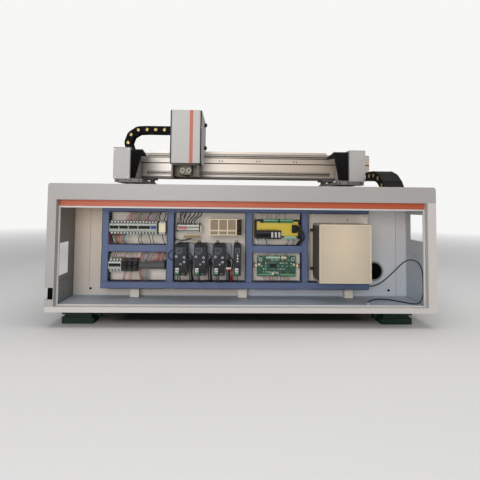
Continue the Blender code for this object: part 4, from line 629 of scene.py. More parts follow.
class Details:
    """Shapes of one assembly that ride on one body, built as one piece for each finish."""

    def __init__(self, name, body="bed"):
        self.name = name
        self.body = body
        self.solids = {}
        self.repeats = {}
        self.nodes = []

    def solid(self, finish_name):
        """The mesh that gathers the solid shapes of one finish."""
        return self.solids.setdefault(finish_name, bmesh.new())

    def soften(self, bm, verts, offset):
        """Breaks the sharp edges at some corners."""
        edges = list({edge for vert in verts for edge in vert.link_edges})
        sharp = [edge for edge in edges if edge.calc_face_angle(0.0) > 0.7]
        bmesh.ops.bevel(bm, geom=sharp, offset=offset, segments=1, affect="EDGES", profile=0.5)

    def box(self, finish_name, x, depth, z, bevel=0.0005):
        """A block with broken edges between limits in x, depth and z."""
        bm = self.solid(finish_name)
        size = Vector((x[1] - x[0], depth[1] - depth[0], z[1] - z[0]))
        middle = Vector((x[0] + x[1], at(depth[0]) + at(depth[1]), z[0] + z[1])) / 2
        place = Matrix.Translation(middle) @ Matrix.Diagonal((*size, 1))
        made = bmesh.ops.create_cube(bm, size=1, matrix=place)
        self.soften(bm, made["verts"], min(bevel, 0.25 * min(size)))

    def prism(self, finish_name, outline, axis, start, end, bevel=0.0005):
        """An outline in the two other axes, in world metres, drawn out along one axis."""
        bm = self.solid(finish_name)
        number = "XYZ".index(axis)
        corners = []
        for pair in outline:
            place = list(pair)
            place.insert(number, start)
            corners.append(bm.verts.new(place))
        along = Vector((0, 0, 0))
        along[number] = end - start
        face = bm.faces.new(corners)
        grown = bmesh.ops.extrude_face_region(bm, geom=[face])
        moved = [v for v in grown["geom"] if isinstance(v, bmesh.types.BMVert)]
        bmesh.ops.translate(bm, vec=along, verts=moved)
        self.soften(bm, moved + list(face.verts), bevel)

    def loft(self, finish_name, rings):
        """A closed body through rings of (x, depth, z) points."""
        bm = self.solid(finish_name)
        loops = [[bm.verts.new((x, at(depth), z)) for x, depth, z in ring] for ring in rings]
        for a, b in zip(loops, loops[1:]):
            for i in range(len(a)):
                j = (i + 1) % len(a)
                bm.faces.new((a[i], a[j], b[j], b[i]))
        bm.faces.new(loops[0])
        bm.faces.new(loops[-1])

    def turned(self, finish_name, profile, centre, axis="Y", sides=24):
        """A lathe shape whose Y axis is laid along an axis, at an x, depth and z."""
        shape = lathe(profile, sides)
        place = Matrix.Translation((centre[0], at(centre[1]), centre[2])) @ FACING[axis]
        bmesh.ops.transform(shape, matrix=place, verts=shape.verts)
        mesh = bpy.data.meshes.new("turned")
        shape.to_mesh(mesh)
        shape.free()
        self.solid(finish_name).from_mesh(mesh)
        bpy.data.meshes.remove(mesh)

    def repeat(self, shape, finish_name, place, size, turn=FRONT_FACING):
        """One more of a small shape, at an x, depth and z."""
        spot = ((place[0], at(place[1]), place[2]), size, turn)
        self.repeats.setdefault((shape, finish_name), []).append(spot)

    def fitting(self, shape, finish_name, place, width, height, turn=FRONT_FACING):
        """One more of a small round shape, by its width and height."""
        self.repeat(shape, finish_name, place, (width, height, width), turn)

    def recess(self, place, size, turn=FRONT_FACING):
        """One more small recess, shown as a thin block of painted shade."""
        self.repeat("block", "vent_shade", place, size, turn)

    def replace(self, *nodes):
        """Says which CAD nodes the solid shapes stand for."""
        self.nodes = nodes

    def build(self):
        """Makes the pieces and gives them back."""
        pieces = []
        for finish_name, bm in self.solids.items():
            bmesh.ops.recalc_face_normals(bm, faces=bm.faces)
            made = piece(f"{self.name}_{finish_name}", bm, finish_name, self.body)
            if self.nodes:
                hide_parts(*self.nodes)
            pieces.append(made)
        for (shape, finish_name), spots in self.repeats.items():
            pieces.append(stamp(f"{self.name}_{shape}_{finish_name}", shape, finish_name, spots, self.body))
        return pieces


def stamp(name, shape, finish_name, spots, body):
    """One piece of a small shape set at many places."""
    pattern = bpy.data.meshes.new("pattern")
    bm = lathe(*ROUND_SHAPES[shape]) if shape in ROUND_SHAPES else SMALL_SHAPES[shape]()
    bm.to_mesh(pattern)
    bm.free()
    mould = bpy.data.objects.new("pattern", pattern)
    bpy.context.scene.collection.objects.link(mould)
    cloud = bpy.data.meshes.new("spots")
    cloud.from_pydata([spot[0] for spot in spots], [], [])
    for label, column in (("size", 1), ("turn", 2)):
        values = cloud.attributes.new(label, "FLOAT_VECTOR", "POINT")
        values.data.foreach_set("vector", [number for spot in spots for number in spot[column]])
    source = bpy.data.objects.new("spots", cloud)
    bpy.context.scene.collection.objects.link(source)
    made = grow(name, source, REPEAT_TREE, {"Shape": mould, "Finish": FINISHES[finish_name]}, body)
    bpy.data.objects.remove(mould, do_unlink=True)
    return made


# Electrics cabinet

PANEL_FRONT = 0.237
DUCT_FRONT = 0.179
DUCT_HALF = 0.021
UPRIGHTS = (-0.7905, -0.4185, 0.0375, 0.3625)
BOTTOM_DUCT = (0.174, 0.216)
SHELF = (0.384, 0.426)
TOP_DUCT = (0.613, 0.645)
BREAKERS = (-0.761, -0.493, 0.484, 0.563)
RELAY = (-0.483, -0.444)
LOWER_BREAKER = (-0.762, -0.690, 0.271, 0.349)
CONTACTORS = (-0.688, -0.598)
TERMINALS = (-0.596, -0.446, 0.286, 0.331)
TERMINAL_BLOCK = (-0.381, -0.249, 0.504, 0.550)
EARTH_BAR = (-0.345, -0.248, 0.464, 0.480)
SUPPLY = (-0.192, -0.010, 0.484, 0.578)
DRIVES = ((-0.379, -0.311), (-0.271, -0.204), (-0.164, -0.100), (-0.051, -0.012))
DRIVE_BOTTOM, DRIVE_TOP, DRIVE_FRONT = 0.266, 0.436, 0.070
CONTROLLER = (0.071, 0.331, 0.464, 0.578)
IO_BOARD = (0.085, 0.314, 0.243, 0.364)
COMPUTER = (0.419, 0.710, 0.233, 0.557)
NOSE, SHOULDER = 0.153, 0.177
SKIN = 0.0004
CASE_BACK = PANEL_FRONT - 0.006
UPPER_POLES, LOWER_POLES = 15, 4
LEVER_OUTLINE = ((0, -0.0026), (0, 0.0026), (0.011, 0.0017), (0.016, 0.0021), (0.016, -0.0021),
    (0.011, -0.0017))
TIE_OUTLINE = ((0.0115, -0.0012), (0.0137, -0.0012), (0.0137, 0.0012), (0.0115, 0.0012))
CABLE_HOLE = (0.802, 0.290, 0.266)

# Where wires enter the ducts
IN_DUCT = 0.200
TOP_ENTRY, BOTTOM_ENTRY = TOP_DUCT[0] + 0.002, BOTTOM_DUCT[1] - 0.002
SHELF_FOOT_ENTRY, SHELF_TOP_ENTRY = SHELF[0] + 0.002, SHELF[1] - 0.002


def duct_slots():
    """Finger slots along both sides of every wiring duct, drawn as dark blocks and discs of painted shade.
    """
    made = Details("duct_slots")
    pitch, width = 0.0150, 0.0086
    depth = (DUCT_FRONT + 0.0145 + PANEL_FRONT) / 2
    length = PANEL_FRONT - DUCT_FRONT - 0.0155

    def row(x, z):
        """Slots along one level face from one x to another."""
        for number in range(int((x[1] - x[0]) / pitch)):
            spot = x[0] + (number + 0.5) * pitch
            if any(abs(spot - upright) < DUCT_HALF + width for upright in UPRIGHTS):
                continue
            made.repeat("block", "duct_shade", (spot, depth, z), (width, length, 2 * SKIN))
            made.fitting("disc", "duct_shade", (spot, depth - length / 2, z), width * 1.3, 2 * SKIN,
                TOP_FACING)
            # Painted shade: a dark dash where each slot opens at the lid's edge.
            made.repeat("block", "duct_shade", (spot, DUCT_FRONT + 0.0060, z),
                (width * 0.8, 0.0060, 0.0046))

    for low, high in (BOTTOM_DUCT, TOP_DUCT):
        row((-0.812, 0.738), low)
        row((-0.812, 0.738), high)
    for left, right in ((UPRIGHTS[0], UPRIGHTS[1]), (UPRIGHTS[2], UPRIGHTS[3])):
        for z in SHELF:
            row((left, right), z)
    for upright in UPRIGHTS:
        for number in range(int((TOP_DUCT[0] - BOTTOM_DUCT[1]) / pitch)):
            z = BOTTOM_DUCT[1] + (number + 0.5) * pitch
            if SHELF[0] - width < z < SHELF[1] + width:
                continue
            for x in (upright - DUCT_HALF, upright + DUCT_HALF):
                made.repeat("block", "duct_shade", (x, depth, z), (2 * SKIN, length, width))
                made.fitting("disc", "duct_shade", (x, depth - length / 2, z), width * 1.3, 2 * SKIN,
                    LEFT_FACING)
                # Painted shade: a dark dash where each slot opens at the lid's edge.
                made.repeat("block", "duct_shade", (x, DUCT_FRONT + 0.0060, z),
                    (0.0046, 0.0060, width * 0.8))
    made.build()


def duct_lid_gap_shade():
    """Painted shade in the thin gaps where the snapped-on lids meet the walls of the ducts."""
    made = Details("duct_lids")
    half, inset = 0.0004, 0.003
    for low, high in (BOTTOM_DUCT, TOP_DUCT):
        for z in (low + inset, high - inset):
            made.box("duct_shade", (-0.8125, 0.7385), (DUCT_FRONT - 0.0019, DUCT_FRONT),
                (z - half, z + half), 0.0001)
    for upright in UPRIGHTS:
        for x in (upright - DUCT_HALF + inset, upright + DUCT_HALF - inset):
            made.box("duct_shade", (x - half, x + half), (DUCT_FRONT - 0.0011, DUCT_FRONT + 0.001),
                (BOTTOM_DUCT[1] + 0.001, TOP_DUCT[0] - 0.001), 0.0001)
    made.build()


def breaker_poles(made, span, poles):
    """Terminal wells and screws, seams, flags and marker plates of a row of breakers."""
    left, right, low, high = span
    middle = (low + high) / 2
    pitch = (right - left) / poles
    for number in range(poles):
        x = left + (number + 0.5) * pitch
        for z in (low + 0.0085, high - 0.0085):
            made.recess((x, SHOULDER, z), (pitch * 0.86, 0.0010, 0.0125))
            made.fitting("disc", "white_plastic", (x, SHOULDER - 0.0010, z), 0.0105, 0.0030)
            made.fitting("screw", "white_plastic", (x, SHOULDER - 0.0028, z), 0.0070, 0.0018,
                (0, 0.5 * number, 0))
        for z in (low + 0.003, high - 0.003):
            made.recess((x, SHOULDER + 0.012, z + (0.0032 if z > middle else -0.0032)),
                (pitch * 0.5, 0.012, 0.0008))
        made.recess((x, NOSE, middle), (pitch * 0.50, 0.0010, 0.0150))
        made.repeat("block", "white_plastic", (x, NOSE, middle + 0.0165), (pitch * 0.72, 0.0012, 0.0046))
        made.repeat("block", "red_plastic" if number % 3 == 1 else "green_plastic",
            (x, NOSE, middle - 0.0150), (0.0042, 0.0010, 0.0026))
    for number in range(1, poles):
        x = left + number * pitch
        made.recess((x, NOSE, middle), (0.0007, 0.0008, 0.0425))
        for z in ((low + middle - 0.0225) / 2, (high + middle + 0.0225) / 2):
            made.recess((x, SHOULDER, z), (0.0007, 0.0008, 0.0160))


def upper_row():
    """Upper breakers, the relay in its cream case beside them, and the ends of their rail."""
    made = Details("upper_row")
    breaker_poles(made, BREAKERS, UPPER_POLES)
    low, high = BREAKERS[2] + 0.002, BREAKERS[3] - 0.002
    made.box("supply_case", (RELAY[0] - SKIN, RELAY[1] + SKIN), (NOSE + 0.0115, CASE_BACK),
        (low + 0.006, high - 0.006))
    made.box("supply_case", (RELAY[0] + 0.002, RELAY[1] - 0.002), (NOSE + 0.0030, NOSE + 0.012),
        (low + 0.015, high - 0.015), 0.001)
    for a, b in ((low - SKIN, low + 0.010), (high - 0.010, high + SKIN)):
        made.box("black_toggle", (RELAY[0] - 2 * SKIN, RELAY[1] + 2 * SKIN),
            (NOSE + 0.0105, PANEL_FRONT - 0.004), (a, b))
        for x in (RELAY[0] + 0.008, (RELAY[0] + RELAY[1]) / 2, RELAY[1] - 0.008):
            made.fitting("screw", "zinc_steel", (x, NOSE + 0.0100, (a + b) / 2), 0.0060, 0.0015,
                (0, 0.7, 0))
    for x in (RELAY[0] - 0.0050, RELAY[1] + 0.0006):
        made.box("black_toggle", (x, x + 0.0044), (NOSE + 0.0125, CASE_BACK), (low + 0.002, high - 0.002))
    made.box("pale_green_plastic", (RELAY[0] + 0.006, RELAY[0] + 0.010), (NOSE + 0.0026, NOSE + 0.004),
        (high - 0.024, high - 0.020))
    made.box("zinc_steel", (BREAKERS[0] - 0.020, RELAY[1] + 0.003),
        (PANEL_FRONT - 0.0080, PANEL_FRONT - 0.0066), (0.5085, 0.5385), 0.0003)
    made.box("pale_grey_plastic", (BREAKERS[0] - 0.010, BREAKERS[0] - 0.001),
        (SHOULDER + 0.020, PANEL_FRONT - 0.009), (0.500, 0.547))
    made.build()


def toggles():
    """One lever for each pole on the ganged drums of the breakers."""
    rows = ((BREAKERS, UPPER_POLES, (("a", 3), ("b", 3), ("c", 3), ("d", 4), ("control", 2))),
        (LOWER_BREAKER, LOWER_POLES, (("lower", 4),)))
    lean, drum, drum_radius = math.radians(40), NOSE + 0.002, 0.0055
    out = Vector((-math.cos(lean), math.sin(lean)))
    across = Vector((out.y, -out.x))
    for (left, right, low, high), poles, gangs in rows:
        pitch = (right - left) / poles
        middle = (low + high) / 2
        axis = Vector((at(drum), middle))
        half = min(0.0046, 0.5 * pitch - 0.0040)
        first = 0
        for gang, count in gangs:
            lever = "main_" + gang if len(gang) == 1 else gang
            made = Details("levers_" + gang, "toggle_" + lever)
            colour = "blue_toggle" if gang == "control" else "black_toggle"
            start, reach = left + first * pitch, 0.5 * count * pitch - 0.0045
            made.turned(colour, ((0, -reach), (drum_radius, -reach), (drum_radius, reach), (0, reach)),
                (start + count * pitch / 2, drum, middle), "X", 20)
            for pole in range(count):
                x = start + (pole + 0.5) * pitch
                outline = [tuple(axis + out * a + across * b) for a, b in LEVER_OUTLINE]
                made.prism(colour, outline, "X", x - half, x + half)
            outline = [tuple(axis + out * a + across * b) for a, b in TIE_OUTLINE]
            made.prism(colour, outline, "X", start + 0.5 * pitch, start + (count - 0.5) * pitch, 0.0001)
            made.replace("handle_" + lever)
            made.build()
            first += count


def lower_row():
    """Four-pole breaker, three black contactors and the dark terminal strip."""
    made = Details("lower_row")
    breaker_poles(made, LOWER_BREAKER, LOWER_POLES)
    low, high = LOWER_BREAKER[2] + 0.004, LOWER_BREAKER[3] - 0.004
    width = (CONTACTORS[1] - CONTACTORS[0]) / 3
    for number in range(3):
        start = CONTACTORS[0] + number * width
        made.box("black_toggle", (start + 0.0003, start + width - 0.0003), (NOSE + 0.0113, CASE_BACK),
            (low - SKIN, high + SKIN), 0.001)
        made.box("black_toggle", (start + 0.0045, start + width - 0.0045), (NOSE + 0.0012, NOSE + 0.014),
            (low + 0.0175, high - 0.0155), 0.001)
        made.box("vent_shade", (start + 0.008, start + width - 0.008), (NOSE + 0.0006, NOSE + 0.003),
            (low + 0.031, low + 0.037))
        for z in (low + 0.008, high - 0.007):
            for x in (start + 0.007, start + width / 2, start + width - 0.007):
                made.fitting("screw", "grey_plastic", (x, NOSE + 0.0108, z), 0.0058, 0.0016, (0, 0.4, 0))
        made.repeat("block", "grey_plastic", (start + width / 2, NOSE + 0.0006, low + 0.024),
            (0.008, 0.002, 0.003))
    left, right, low, high = TERMINALS
    front = SHOULDER + 0.004
    made.box("grey_plastic", (left - SKIN, right + SKIN), (front - SKIN, CASE_BACK),
        (low - SKIN, high + SKIN))
    made.box("grey_plastic", (left + 0.001, right - 0.006), (front - 0.0022, front),
        (low + 0.018, low + 0.027))
    made.box("black_toggle", (right - 0.005, right + 2 * SKIN), (front - 0.004, CASE_BACK),
        (low - 0.002, high + 0.002))
    for number in range(28):
        x = left + 0.0052 * (number + 0.5)
        made.recess((x + 0.0026, front - 0.0006, (low + high) / 2), (0.0006, 0.0012, high - low))
        for z in (low + 0.007, high - 0.007):
            made.fitting("screw", "black_screw", (x, front - 0.0006, z), 0.0036, 0.0016,
                (0, 0.3 * number, 0))
    made.build()


def terminals_and_supply():
    """Feed-through terminals, earth bar and the supply with its mesh cells."""
    made = Details("middle_row")
    left, right, low, high = TERMINAL_BLOCK
    front = SHOULDER - 0.007
    terminals = 13
    pitch = (right - left) / terminals
    for number in range(terminals):
        x = left + (number + 0.5) * pitch
        made.recess((x + pitch / 2, front, (low + high) / 2), (0.0008, 0.0008, high - low - 0.018))
        for z in (low + 0.0130, high - 0.0130):
            made.fitting("disc", "vent_shade", (x, front, z), 0.0072, 0.0010)
            made.fitting("screw", "zinc_steel", (x, front - 0.0004, z), 0.0054, 0.0014,
                (0, 0.6 * number, 0))
        for z in (low + 0.004, high - 0.004):
            made.recess((x, front + 0.0220, z), (pitch * 0.55, 0.0010, 0.0042))
        made.repeat("block", "grey_plastic" if number > 5 else "pale_grey_plastic",
            (x, front, (low + high) / 2), (pitch * 0.8, 0.0014, 0.0050))
    for number in range(5):
        x = left + (number + 0.9) * pitch
        made.box("red_plastic", (x, x + pitch * 0.72), (front - 0.0030, front - 0.0006),
            (low + 0.0130, low + 0.0290))
    for x in (left - 0.001, right - 0.004):
        made.box("black_toggle", (x, x + 0.005), (front - 0.004, CASE_BACK), (low - 0.002, high + 0.002),
            0.0005)
    made.box("supply_case", (right + 0.001, right + 0.010), (front + 0.006, PANEL_FRONT - 0.001),
        (low - 0.004, high - 0.010), 0.001)
    left, right, low, high = EARTH_BAR
    for number in range(8):
        made.fitting("screw", "black_screw", (left + 0.008 + number * 0.0116, 0.1945, (low + high) / 2),
            0.0072, 0.0036, (0, 0.5 * number, 0))
    supply_front(made)
    made.build()


def supply_front(made):
    """Cream frame over three mesh cells, with the dark perforated side plate beside them."""
    left, right, low, high = SUPPLY
    side = right - 0.026
    rim, foot, hole = 0.0055, 0.024, 0.0046
    width = (side - left - 4 * rim) / 3
    made.box("supply_mesh", (left, side), (NOSE - 0.0006, NOSE + 0.001), (low + 0.001, high - 0.001),
        0.0002)
    for cell in range(4):
        start = left - SKIN + cell * (width + rim)
        made.box("supply_case", (start, start + rim), (NOSE - 0.0036, NOSE + 0.001),
            (low - SKIN, high + SKIN), 0.0008)
    for z in (low - SKIN, low + foot, high + SKIN - rim):
        made.box("supply_case", (left - SKIN, side), (NOSE - 0.0034, NOSE + 0.001), (z, z + rim), 0.0008)
    for cell in range(3):
        start = left + rim + cell * (width + rim)
        for column in range(int(width / hole)):
            x = start + width / 2 + (column + 0.5 - int(width / hole) / 2) * hole
            for z in [low + rim + 0.004 + row * hole for row in range(19)]:
                if not -0.003 < z - low - foot < rim + 0.003:
                    made.fitting("disc", "vent_shade", (x, NOSE - 0.0006, z), 0.0027, 0.0006)
    made.box("vent_shade", (side + 0.001, right + SKIN), (NOSE - 0.0030, PANEL_FRONT - 0.004),
        (low + 0.002, high - 0.002), 0.001)
    for row in range(11):
        for column in range(3):
            made.fitting("disc", "supply_mesh", (side + 0.006 + column * 0.0070, NOSE - 0.0030,
                low + 0.010 + row * 0.0076), 0.0026, 0.0006)
    for x in (left + 0.0025, side + 0.0015):
        for z in (low + 0.0025, high - 0.0025):
            made.fitting("screw", "zinc_steel", (x, NOSE - 0.0040, z), 0.0044, 0.0014, (0, 0.8, 0))


def drives():
    """Displays, connectors, vents and zinc sides of the four servo drives."""
    made = Details("drives")
    for left, right in DRIVES:
        wide = right - left > 0.05
        front = DRIVE_FRONT
        edge = left + (0.040 if wide else 0.028)
        made.box("lens_glass", (left + 0.0095, edge - 0.0005), (front + 0.0018, front + 0.003),
            (DRIVE_TOP - 0.0395, DRIVE_TOP - 0.0185))
        for a, b in ((left + 0.0078, left + 0.0092), (edge - 0.0002, edge + 0.0012)):
            made.box("pale_grey_plastic", (a, b), (front - 0.0008, front + 0.001),
                (DRIVE_TOP - 0.0412, DRIVE_TOP - 0.0168), 0.0002)
        for z in (DRIVE_TOP - 0.0408, DRIVE_TOP - 0.0172):
            made.box("pale_grey_plastic", (left + 0.0078, edge + 0.0012), (front - 0.0008, front + 0.001),
                (z - 0.0006, z + 0.0006), 0.0002)
        for number in range(4 if wide else 3):
            made.fitting("disc", "pale_grey_plastic", (left + 0.0115 + number * 0.0068, front - 0.0006,
                DRIVE_TOP - 0.048), 0.0040, 0.0020)
        if wide:
            for z in (0.101, 0.077):
                made.fitting("ring", "white_plastic", (right - 0.015, front + 0.0010, DRIVE_BOTTOM + z),
                    0.0125, 0.0060)
            made.fitting("ring", "white_plastic", (left + 0.034, front - 0.0004, DRIVE_BOTTOM + 0.064),
                0.0088, 0.0030)
            made.fitting("disc", "pale_grey_plastic", (left + 0.010, front - 0.0020, DRIVE_TOP - 0.064),
                0.0160, 0.0080)
            for x, z, size in ((right - 0.015, 0.101, 0.0070), (right - 0.015, 0.077, 0.0070),
                    (left + 0.034, 0.064, 0.0050)):
                made.fitting("disc", "vent_shade", (x, front - 0.0006, DRIVE_BOTTOM + z), size, 0.0030)
            made.box("black_toggle", (right - 0.0305, right - 0.0075), (front + 0.0030, front + 0.0155),
                (DRIVE_BOTTOM + 0.0055, DRIVE_BOTTOM + 0.0305), 0.001)
            made.repeat("block", "pale_grey_plastic", (right - 0.019, front + 0.0026, DRIVE_BOTTOM + 0.012),
                (0.016, 0.001, 0.002))
        else:
            for number in range(3):
                made.fitting("disc", "white_plastic", ((left + right) / 2, front - 0.0006,
                    DRIVE_TOP - 0.058 - number * 0.015), 0.0080, 0.0024)
        low = DRIVE_BOTTOM + 0.008
        made.box("white_plastic", (left + 0.0055, left + 0.0245), (front + 0.0008, front + 0.0155),
            (low + 0.015, low + 0.0345), 0.001)
        made.box("green_plastic", (left + 0.0050, left + 0.0250), (front - 0.0006, front + 0.0155),
            (low - 0.0005, low + 0.0145), 0.001)
        for number in range(4):
            x = left + 0.0080 + number * 0.0046
            made.fitting("screw", "zinc_steel", (x, front - 0.0008, low + 0.0095), 0.0030, 0.0012)
            made.recess((x, front - 0.0006, low + 0.0040), (0.0028, 0.0008, 0.0034))
            made.recess((x, front + 0.0008, low + 0.0240), (0.0024, 0.0008, 0.0100))
        for x, out in ((left, -1), (right, 1)):
            made.box("drive_metal", tuple(sorted((x, x + out * 0.0006))), (0.112, 0.2345),
                (DRIVE_BOTTOM + 0.003, DRIVE_TOP - 0.002), 0.0002)
            for row in range(9):
                for column in range(3):
                    place = (x + out * 0.0006, 0.136 + column * 0.036, DRIVE_BOTTOM + 0.026 + row * 0.015)
                    made.recess(place, (0.0006, 0.026, 0.0040))
        if wide:
            made.prism("drive_metal", [(right, DRIVE_TOP - 0.001), (right + 0.031, DRIVE_TOP - 0.003),
                (right + 0.031, DRIVE_TOP - 0.062), (right, DRIVE_BOTTOM + 0.022)], "Y", at(0.178),
                at(PANEL_FRONT - 0.001))
        for number in range(int((right - left - 0.010) / 0.0055)):
            x = left + 0.0075 + number * 0.0055
            made.recess((x, 0.150, DRIVE_TOP), (0.0028, 0.090, 0.0008))
            made.recess((x, front + 0.013, DRIVE_TOP - 0.0035), (0.0026, 0.004, 0.0012))
        made.box("vent_shade", (left + 0.0022, right - 0.0022), (front - SKIN, front + 0.001),
            (DRIVE_BOTTOM + 0.0540, DRIVE_BOTTOM + 0.0546), 0.0001)
        for z in (DRIVE_TOP + 0.007, DRIVE_BOTTOM - 0.007):
            made.fitting("screw", "zinc_steel", (left + 0.018, 0.2325, z), 0.007, 0.003)
    made.build()


def controller_and_board():
    """Black frame and connectors of the yellow controller, and the board's parts."""
    made = Details("controller")
    left, right, low, high = CONTROLLER
    front, rim = 0.185, 0.0075
    box_low, box_high = low + 0.010, high - 0.006
    for x, z in (((left - SKIN, right + SKIN), (box_high - rim, box_high + SKIN)),
            ((left - SKIN, right + SKIN), (box_low - SKIN, box_low + rim)),
            ((left - SKIN, left + rim), (box_low, box_high)),
            ((right - rim, right + SKIN), (box_low, box_high))):
        made.box("black_toggle", x, (front - 0.0012, PANEL_FRONT - 0.004), z, 0.0006)
    for a, b in ((0.0295, 0.049), (0.133, 0.143)):
        made.box("black_toggle", (left + a, left + b), (front - 0.0128, front + 0.004),
            (high - 0.0206, high + 0.0006))
    for a, b in ((0.049, 0.133), (0.143, 0.222)):
        made.box("green_plastic", (left + a - SKIN, left + b + SKIN), (front - 0.0124, front + 0.006),
            (high - 0.0204, high + SKIN), 0.0008)
        for number in range(int((b - a) / 0.0062)):
            x = left + a + 0.0040 + number * 0.0062
            made.fitting("screw", "zinc_steel", (x, front - 0.0126, high - 0.006), 0.0034, 0.0012)
            made.recess((x, front - 0.0124, high - 0.0145), (0.0036, 0.0008, 0.0046))
    a, b = right - 0.090, right - 0.022
    made.box("pale_green_plastic", (a - SKIN, b + SKIN), (front - 0.0124, front + 0.006),
        (low - SKIN, low + 0.0164), 0.0008)
    for number in range(11):
        made.recess((a + 0.0035 + number * 0.0060, front - 0.0124, low + 0.006), (0.0034, 0.0008, 0.0050))
    made.box("black_toggle", (left - 2 * SKIN, left + 0.152), (front - 0.0106, front + 0.006),
        (low - SKIN, low + 0.050), 0.0015)
    for number in range(7):
        x = left + 0.014 + number * 0.0118
        made.recess((x, front - 0.0108, low + 0.020), (0.0075, 0.0010, 0.0150))
        made.fitting("disc", "grey_plastic", (x, front - 0.0110, low + 0.038), 0.0060, 0.0014)
    for number in range(3):
        x = left + 0.100 + number * 0.0205
        made.box("white_plastic", (x - 0.0052, x + 0.0052), (front - 0.0122, front - 0.009),
            (low + 0.008, low + 0.040), 0.0006)
        for pin in range(5):
            made.recess((x, front - 0.0122, low + 0.012 + pin * 0.006), (0.0050, 0.0008, 0.0020))
    made.box("black_toggle", (right - 0.046, right - 0.018), (front - 0.016, front + 0.002),
        (low + 0.036, low + 0.082), 0.002)
    for a, b in ((left - 2 * SKIN, left + 0.009), (right - 0.009, right + 2 * SKIN)):
        made.box("black_toggle", (a, b), (front - 0.0096, front + 0.004), (low + 0.001, high - 0.001))
    made.box("black_toggle", (left, right), (front - 0.0092, front + 0.004), (high - 0.0100, high - 0.0010))
    for number in range(7):
        made.recess((left + 0.030 + number * 0.0155, front - 0.0092, low + 0.0555),
            (0.0042, 0.0012, 0.0042))
    made.box("black_toggle", (right - 0.0204, right + 0.0044), (front - 0.0144, front + 0.021),
        (low + 0.0396, low + 0.0804), 0.0015)
    for z in (low + 0.043, low + 0.077):
        made.fitting("screw", "zinc_steel", (right - 0.008, front - 0.0146, z), 0.0042, 0.0020)
    for number in range(6):
        made.fitting("disc", "pale_green_plastic", (left + 0.150 + number * 0.007, front - SKIN,
            low + 0.034), 0.0026, 0.0010)
    for x in (left + 0.012, right - 0.012):
        for z in (box_low + 0.004, box_high - 0.004):
            made.fitting("screw", "black_screw", (x, front - 0.0014, z), 0.0044, 0.0014)
    made.build()
    board_parts()


def board_parts():
    """Terminals, chips and small components on the interface board."""
    made = Details("board")
    left, right, low, high = IO_BOARD
    face = 0.214
    top = ((0.054, 0.134, "pale_green_plastic"), (0.142, 0.174, "supply_case"))
    foot = ((0.014, 0.086, "green_plastic"), (0.132, 0.218, "green_plastic"))
    for blocks, a, b in ((top, high - 0.0184, high - 0.0026), (foot, low + 0.0026, low + 0.0184)):
        for start, end, kind in blocks:
            made.box(kind, (left + start - SKIN, left + end + SKIN), (face - 0.0144, face), (a, b), 0.0006)
            for number in range(int((end - start) / 0.0052)):
                x = left + start + 0.0034 + number * 0.0052
                made.fitting("screw", "zinc_steel", (x, face - 0.0146, (a + b) / 2 + 0.002), 0.0030, 0.0012)
                made.recess((x, face - 0.0144, (a + b) / 2 - 0.0045), (0.0030, 0.0008, 0.0030))
    for x in (left + 0.013, right - 0.013):
        z = (low + high) / 2 + 0.010
        made.turned("earth_brass", ((0.0058, -0.0152), (0.0094, -0.0152), (0.0096, -0.014), (0.0096, 0.0),
            (0, 0.0)), (x, face, z))
        made.turned("supply_case", ((0, -0.0148), (0.0058, -0.0148), (0.0058, 0.0), (0, 0.0)), (x, face, z))
        for turn in range(5):
            angle = 2 * math.pi * turn / 5
            made.fitting("disc", "vent_shade", (x + 0.0032 * math.cos(angle), face - 0.0150,
                z + 0.0032 * math.sin(angle)), 0.0016, 0.0008)
    for x, z in ((left + 0.022, high - 0.022), (right - 0.018, high - 0.020)):
        made.fitting("ring", "white_plastic", (x, face - 0.004, z), 0.0210, 0.0080)
        made.fitting("disc", "vent_shade", (x, face - 0.006, z), 0.0120, 0.0060)
    for x, out in ((left - 0.010, -1), (right + 0.010, 1)):
        z = (low + high) / 2 + 0.004
        made.turned("earth_brass", ((0, -0.014), (0.0080, -0.014), (0.0115, -0.010), (0.0115, -0.002),
            (0.0090, 0.000), (0.0090, 0.014), (0, 0.014)), (x, face - 0.010, z), "X")
        made.turned("white_plastic", ((0, -0.004), (0.0135, -0.004), (0.0135, 0.004), (0, 0.004)),
            (x - out * 0.004, face - 0.010, z), "X")
        made.box("black_toggle", (x - 0.006, x + 0.006), (face - 0.002, PANEL_FRONT - 0.001),
            (z - 0.012, z + 0.012), 0.001)
    made.box("black_toggle", (left + 0.0745, left + 0.1155), (face - 0.0046, face),
        (low + 0.0475, low + 0.0765), 0.0004)
    for number in range(14):
        x = left + 0.0775 + number * 0.0027
        for z in (low + 0.0462, low + 0.0778):
            made.repeat("block", "zinc_steel", (x, face - 0.0008, z), (0.0011, 0.0012, 0.0028))
    chance = random.Random(4)
    kinds = ("white_plastic", "black_toggle", "supply_case", "black_toggle", "zinc_steel", "red_plastic")
    for row in range(5):
        for column in range(15):
            x = left + 0.028 + column * 0.0124
            z = low + 0.026 + row * 0.0172
            if 0.070 < x - left < 0.120 and 0.042 < z - low < 0.082:
                continue
            size = (0.0025 + 0.006 * chance.random(), 0.002 + 0.005 * chance.random(),
                0.002 + 0.006 * chance.random())
            made.repeat("block", chance.choice(kinds), (x, face - size[1] / 2, z), size)
    for number in range(4):
        x = left + 0.134 + number * 0.0135
        made.box("supply_case" if number % 2 else "pale_blue_plastic", (x - 0.060, x - 0.0485),
            (face - 0.012, face), (low + 0.010, low + 0.024), 0.0005)
    for x in (left + 0.008, right - 0.008):
        for z in (low + 0.008, high - 0.008):
            made.fitting("screw", "zinc_steel", (x, face - 0.0006, z), 0.0064, 0.0024, (0, 0.4, 0))
    made.build()


